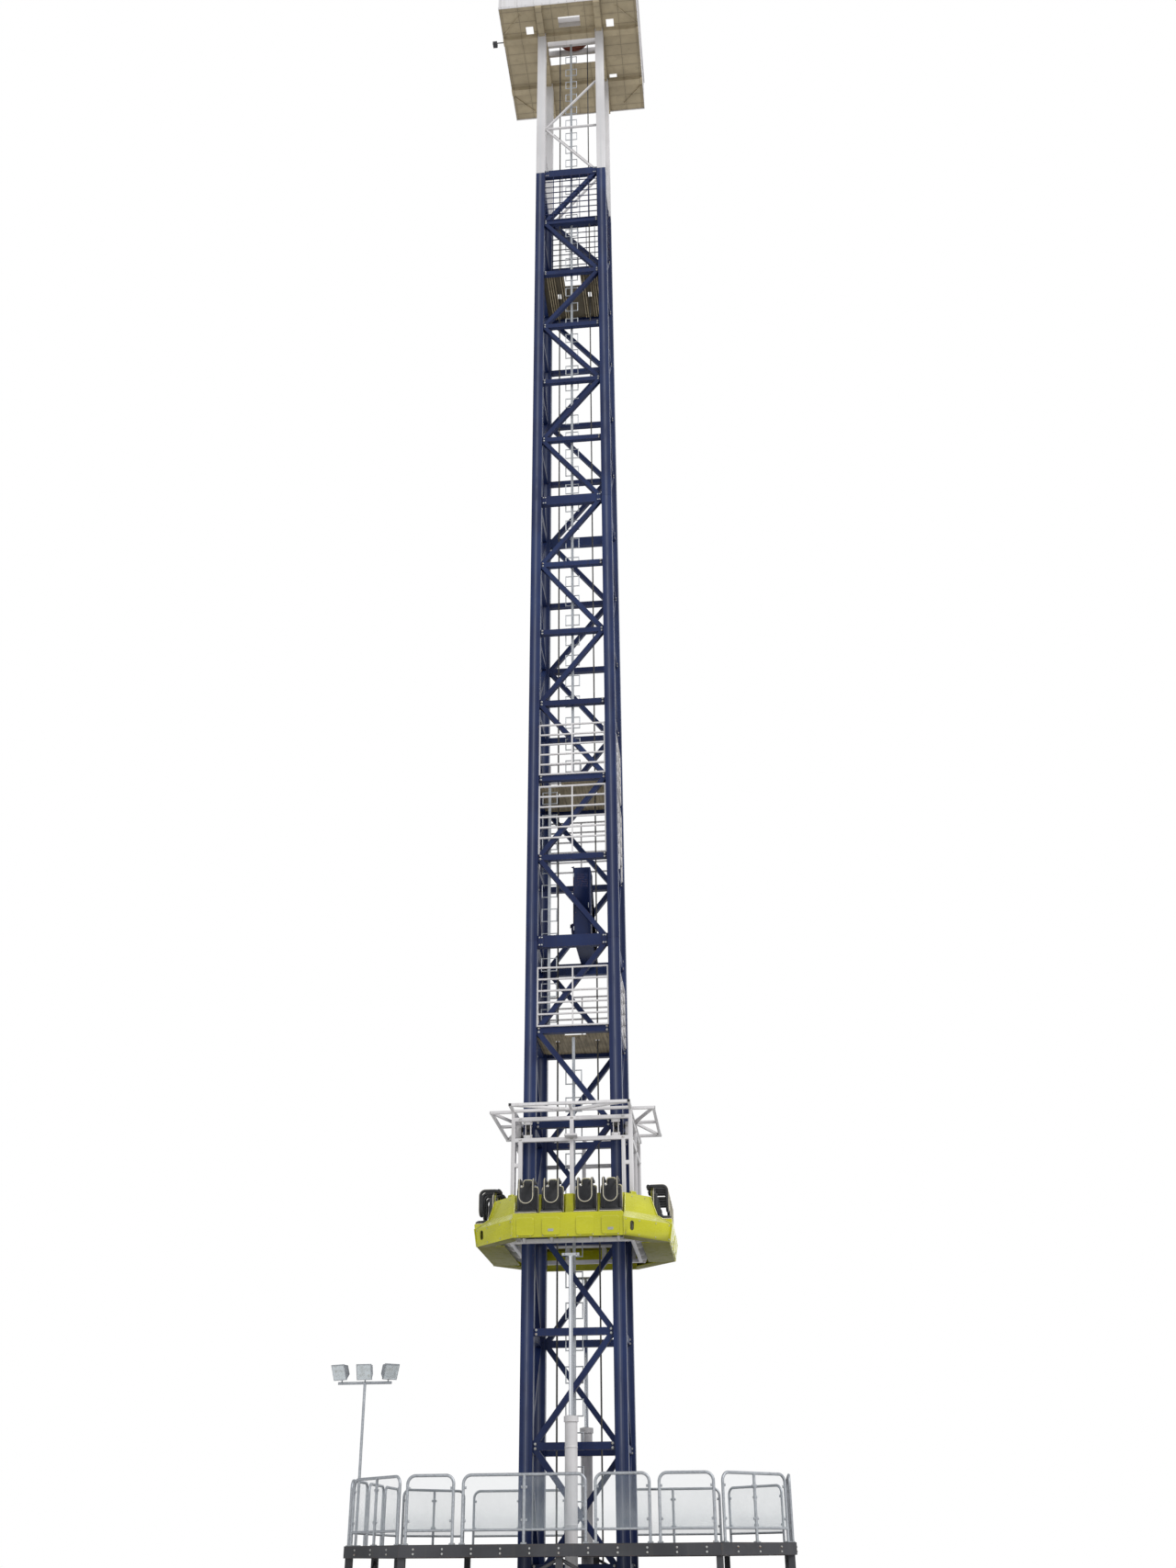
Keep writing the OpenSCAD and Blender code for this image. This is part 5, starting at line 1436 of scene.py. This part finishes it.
class RIDE_OT_buffers(bpy.types.Operator):
    """Adds the gland bolts, wiper rings and clamps of the two buffers"""

    bl_idname = "ride.buffers"
    bl_label = "Buffers"

    def execute(self, context):
        bolt_ring, rod_head = 54, BUFFER_TOP + 1492.5
        spots, rings, clamps, heads = [], [], [], []
        for y in (-BUFFER_Y, BUFFER_Y):
            for degrees in (62, 90, 118, 242, 270, 298):
                a = math.radians(degrees)
                x, out = bolt_ring * math.cos(a), bolt_ring * math.sin(a)
                spots.append(((x, y + out, BUFFER_TOP), (0, 0, 1)))
            rings.append(self.collar((0, y, BUFFER_TOP + 2), 23.5, 36, 3.6))
            clamps += [self.collar((0, y, z), 59.8, 62.5, 16) for z in (1100, 1760)]
            for x, out in product((-60, 60), (-1, 1)):
                heads.append(((x, y + out * 30, rod_head), (0, out, 0)))
        across = settings()[1].small_bolt * 1.3
        bolts("gland_bolts", across, "tower", spots)
        finish_piece(rings, "wiper_rings", "tower", "black", "tyre")
        finish_piece(clamps, "buffer_bands", "tower", "white")
        bolts("head_bolts", across, "buffers", heads)
        return {"FINISHED"}

    def collar(self, centre, inner, outer, depth):
        """Open ring round a buffer."""
        ring = post(centre, outer, depth, 40)
        pick_faces(ring, "z")
        bpy.ops.mesh.delete(type="FACE")
        close_edit()
        apply_modifier(ring, "SOLIDIFY", thickness=(outer - inner) * MM, offset=-1)
        return rounded(ring, 0.8, 1)


FRONT_FRAMES = (440, 1110, 500, 500)
SIDE_FRAMES = (640, 640, 640)
REAR_FRAMES = (1020, 0, 1020)
DECK = (4100, 3400)
DECK_CUT = 650
CORNER_FRAME = DECK_CUT * math.sqrt(2) - 120
CORNER_FAR = (DECK[0] / 2 + DECK[1] / 2 - DECK_CUT) / math.sqrt(2)
CORNER_ALONG = (DECK[0] - DECK[1]) / 2 / math.sqrt(2)

# Turn, distance from the middle, shift along the edge and frame widths of each edge of the deck
RAIL_ROWS = [
    (0, DECK[1] / 2, 0, FRONT_FRAMES),
    (90, DECK[0] / 2, 0, SIDE_FRAMES),
    (180, DECK[1] / 2, 0, REAR_FRAMES),
    (270, DECK[0] / 2, 0, SIDE_FRAMES),
]
RAIL_ROWS += [(a, CORNER_FAR, CORNER_ALONG, (CORNER_FRAME,)) for a in (45, 225)]
RAIL_ROWS += [(a, CORNER_FAR, -CORNER_ALONG, (CORNER_FRAME,)) for a in (135, 315)]


def rail_frames():
    """(matrix, width) of every railing frame; the matrix puts its lower left corner on the deck."""
    for degrees, far, along, frames in RAIL_ROWS:
        turn = Matrix.Rotation(math.radians(degrees), 4, "Z")
        gap = 320 if 0 in frames else 60
        start = along - (sum(frames) + gap * (len(frames) - 1)) / 2
        for width in frames:
            if width:
                yield turn @ shift(start, -far + 30, DECK_Z), width
            start += width + gap


class RIDE_OT_railings(bpy.types.Operator):
    """Clamps the clear sheets in their frames and bolts the posts down"""

    bl_idname = "ride.railings"
    bl_label = "Railings"

    def execute(self, context):
        clamp_places, spots = [], []
        for place, width in rail_frames():
            posts = [13, width / 2, width - 13] if width > 700 else [13, width - 13]
            for x, s in product(posts, (-1, 1)):
                edge = x + s * 19
                spots.append((place @ (Vector((edge, 0, 8)) * MM) / MM, (0, 0, 1)))
                if 20 < edge < width - 20:
                    clamp_places += [place @ shift(edge, 0, z) for z in (185, 445)]
        bolts("post_bolts", settings()[1].small_bolt, "tower", spots)
        clamp = sink(block((-9, -6, -11), (9, 6, 11)), "y", 2.5, 1.5)
        clamp = join([clamp] + copies(hex_bolt(0.007), [aim((0, s * 7, 0), (0, s, 0)) for s in (-1, 1)]))
        finish_piece(copies(rounded(clamp, 1.2, 1), clamp_places), "sheet_clamps", "tower", "galvanised")
        return {"FINISHED"}


class RIDE_OT_lamps(bpy.types.Operator):
    """Gives the floodlights their glass and cooling fins"""

    bl_idname = "ride.lamps"
    bl_label = "Floodlights"

    def execute(self, context):
        lamp_w, reach = 140, 225
        glasses, fins = [], []
        for i, degrees in ((-1, -20), (0, 0), (1, 35)):
            place = (
                shift(MAST[0] + i * reach, MAST[1], DECK_Z + MAST_H + 52.3)
                @ Matrix.Rotation(math.radians(degrees), 4, "Z")
                @ shift(0, 30, 4)
                @ Matrix.Rotation(math.radians(25), 4, "X")
                @ shift(-lamp_w / 2, -60, 0)
            )
            glass = block((4, -10.5, 4), (lamp_w - 4, -7.5, lamp_w - 4))
            sink(glass, "-y", 7, -1).data.transform(place)
            glasses.append(glass)
            for x in range(16, 125, 18):
                fin = block((x - 1.5, 52, 34), (x + 1.5, 66, lamp_w - 34))
                sink(fin, "+y", 0.8, 1).data.transform(place)
                fins.append(fin)
        finish_piece(glasses, "lamp_glasses", "tower", "clear")
        finish_piece(fins, "lamp_fins", "tower", "galvanised")
        return {"FINISHED"}


class RIDE_OT_deck(bpy.types.Operator):
    """Bolts the deck's edge beams and legs together"""

    bl_idname = "ride.deck"
    bl_label = "Deck"

    def execute(self, context):
        spots = []
        for degrees, far, along, frames in RAIL_ROWS:
            turn = Matrix.Rotation(math.radians(degrees), 4, "Z")
            straight = (DECK[0] if far == DECK[1] / 2 else DECK[1]) - 2 * DECK_CUT
            length = CORNER_FRAME if len(frames) == 1 else straight
            count = max(2, round(length / 260))
            for i, drop in product(range(count), (35, 72)):
                x = along + (i + 0.5 - count / 2) * length / count
                spots.append(spot(turn, x, -far, DECK_Z - drop))
        bolts("edge_bolts", settings()[1].bolt * 0.7, "tower", spots)
        return {"FINISHED"}


class RIDE_PT_panel(bpy.types.Panel):
    """Lists the ride's steps and settings"""

    bl_label = "Drop Tower"
    bl_idname = "RIDE_PT_panel"
    bl_space_type = "VIEW_3D"
    bl_region_type = "UI"
    bl_category = "Drop Tower"

    def draw(self, context):
        for group in settings():
            box = self.layout.box()
            for name in type(group).__annotations__:
                box.prop(group, name)
        for operator in OPERATORS:
            self.layout.operator(operator.bl_idname)


GROUPS = (RidePaint, RideSizes, RideCamera)
OPERATORS = (
    RIDE_OT_finishes,
    RIDE_OT_stage,
    RIDE_OT_tower,
    RIDE_OT_cabinet,
    RIDE_OT_platform,
    RIDE_OT_headgear,
    RIDE_OT_deck,
    RIDE_OT_railings,
    RIDE_OT_lamps,
    RIDE_OT_buffers,
    RIDE_OT_carriage,
    RIDE_OT_shells,
    RIDE_OT_seats,
    RIDE_OT_restraints,
)


def register():
    """Registers the classes and hangs the settings on the scene."""
    for cls in GROUPS + OPERATORS + (RIDE_PT_panel,):
        bpy.utils.register_class(cls)
    bpy.types.Scene.ride_paint = bpy.props.PointerProperty(type=RidePaint)
    bpy.types.Scene.ride_sizes = bpy.props.PointerProperty(type=RideSizes)
    bpy.types.Scene.ride_camera = bpy.props.PointerProperty(type=RideCamera)


def unregister():
    """Takes the settings off the scene and unregisters the classes."""
    del bpy.types.Scene.ride_paint
    del bpy.types.Scene.ride_sizes
    del bpy.types.Scene.ride_camera
    for cls in reversed(GROUPS + OPERATORS + (RIDE_PT_panel,)):
        bpy.utils.unregister_class(cls)


def main():
    """Runs every step in order."""
    register()
    bpy.context.scene.view_settings.view_transform = "Standard"
    for operator in OPERATORS:
        getattr(bpy.ops.ride, operator.bl_idname.split(".")[1])()
    boxes = {"cad": CAD_BOX, "visual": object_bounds()}
    {name: [list(corner) for corner in box] for name, box in boxes.items()}


if __name__ == "__main__":
    main()
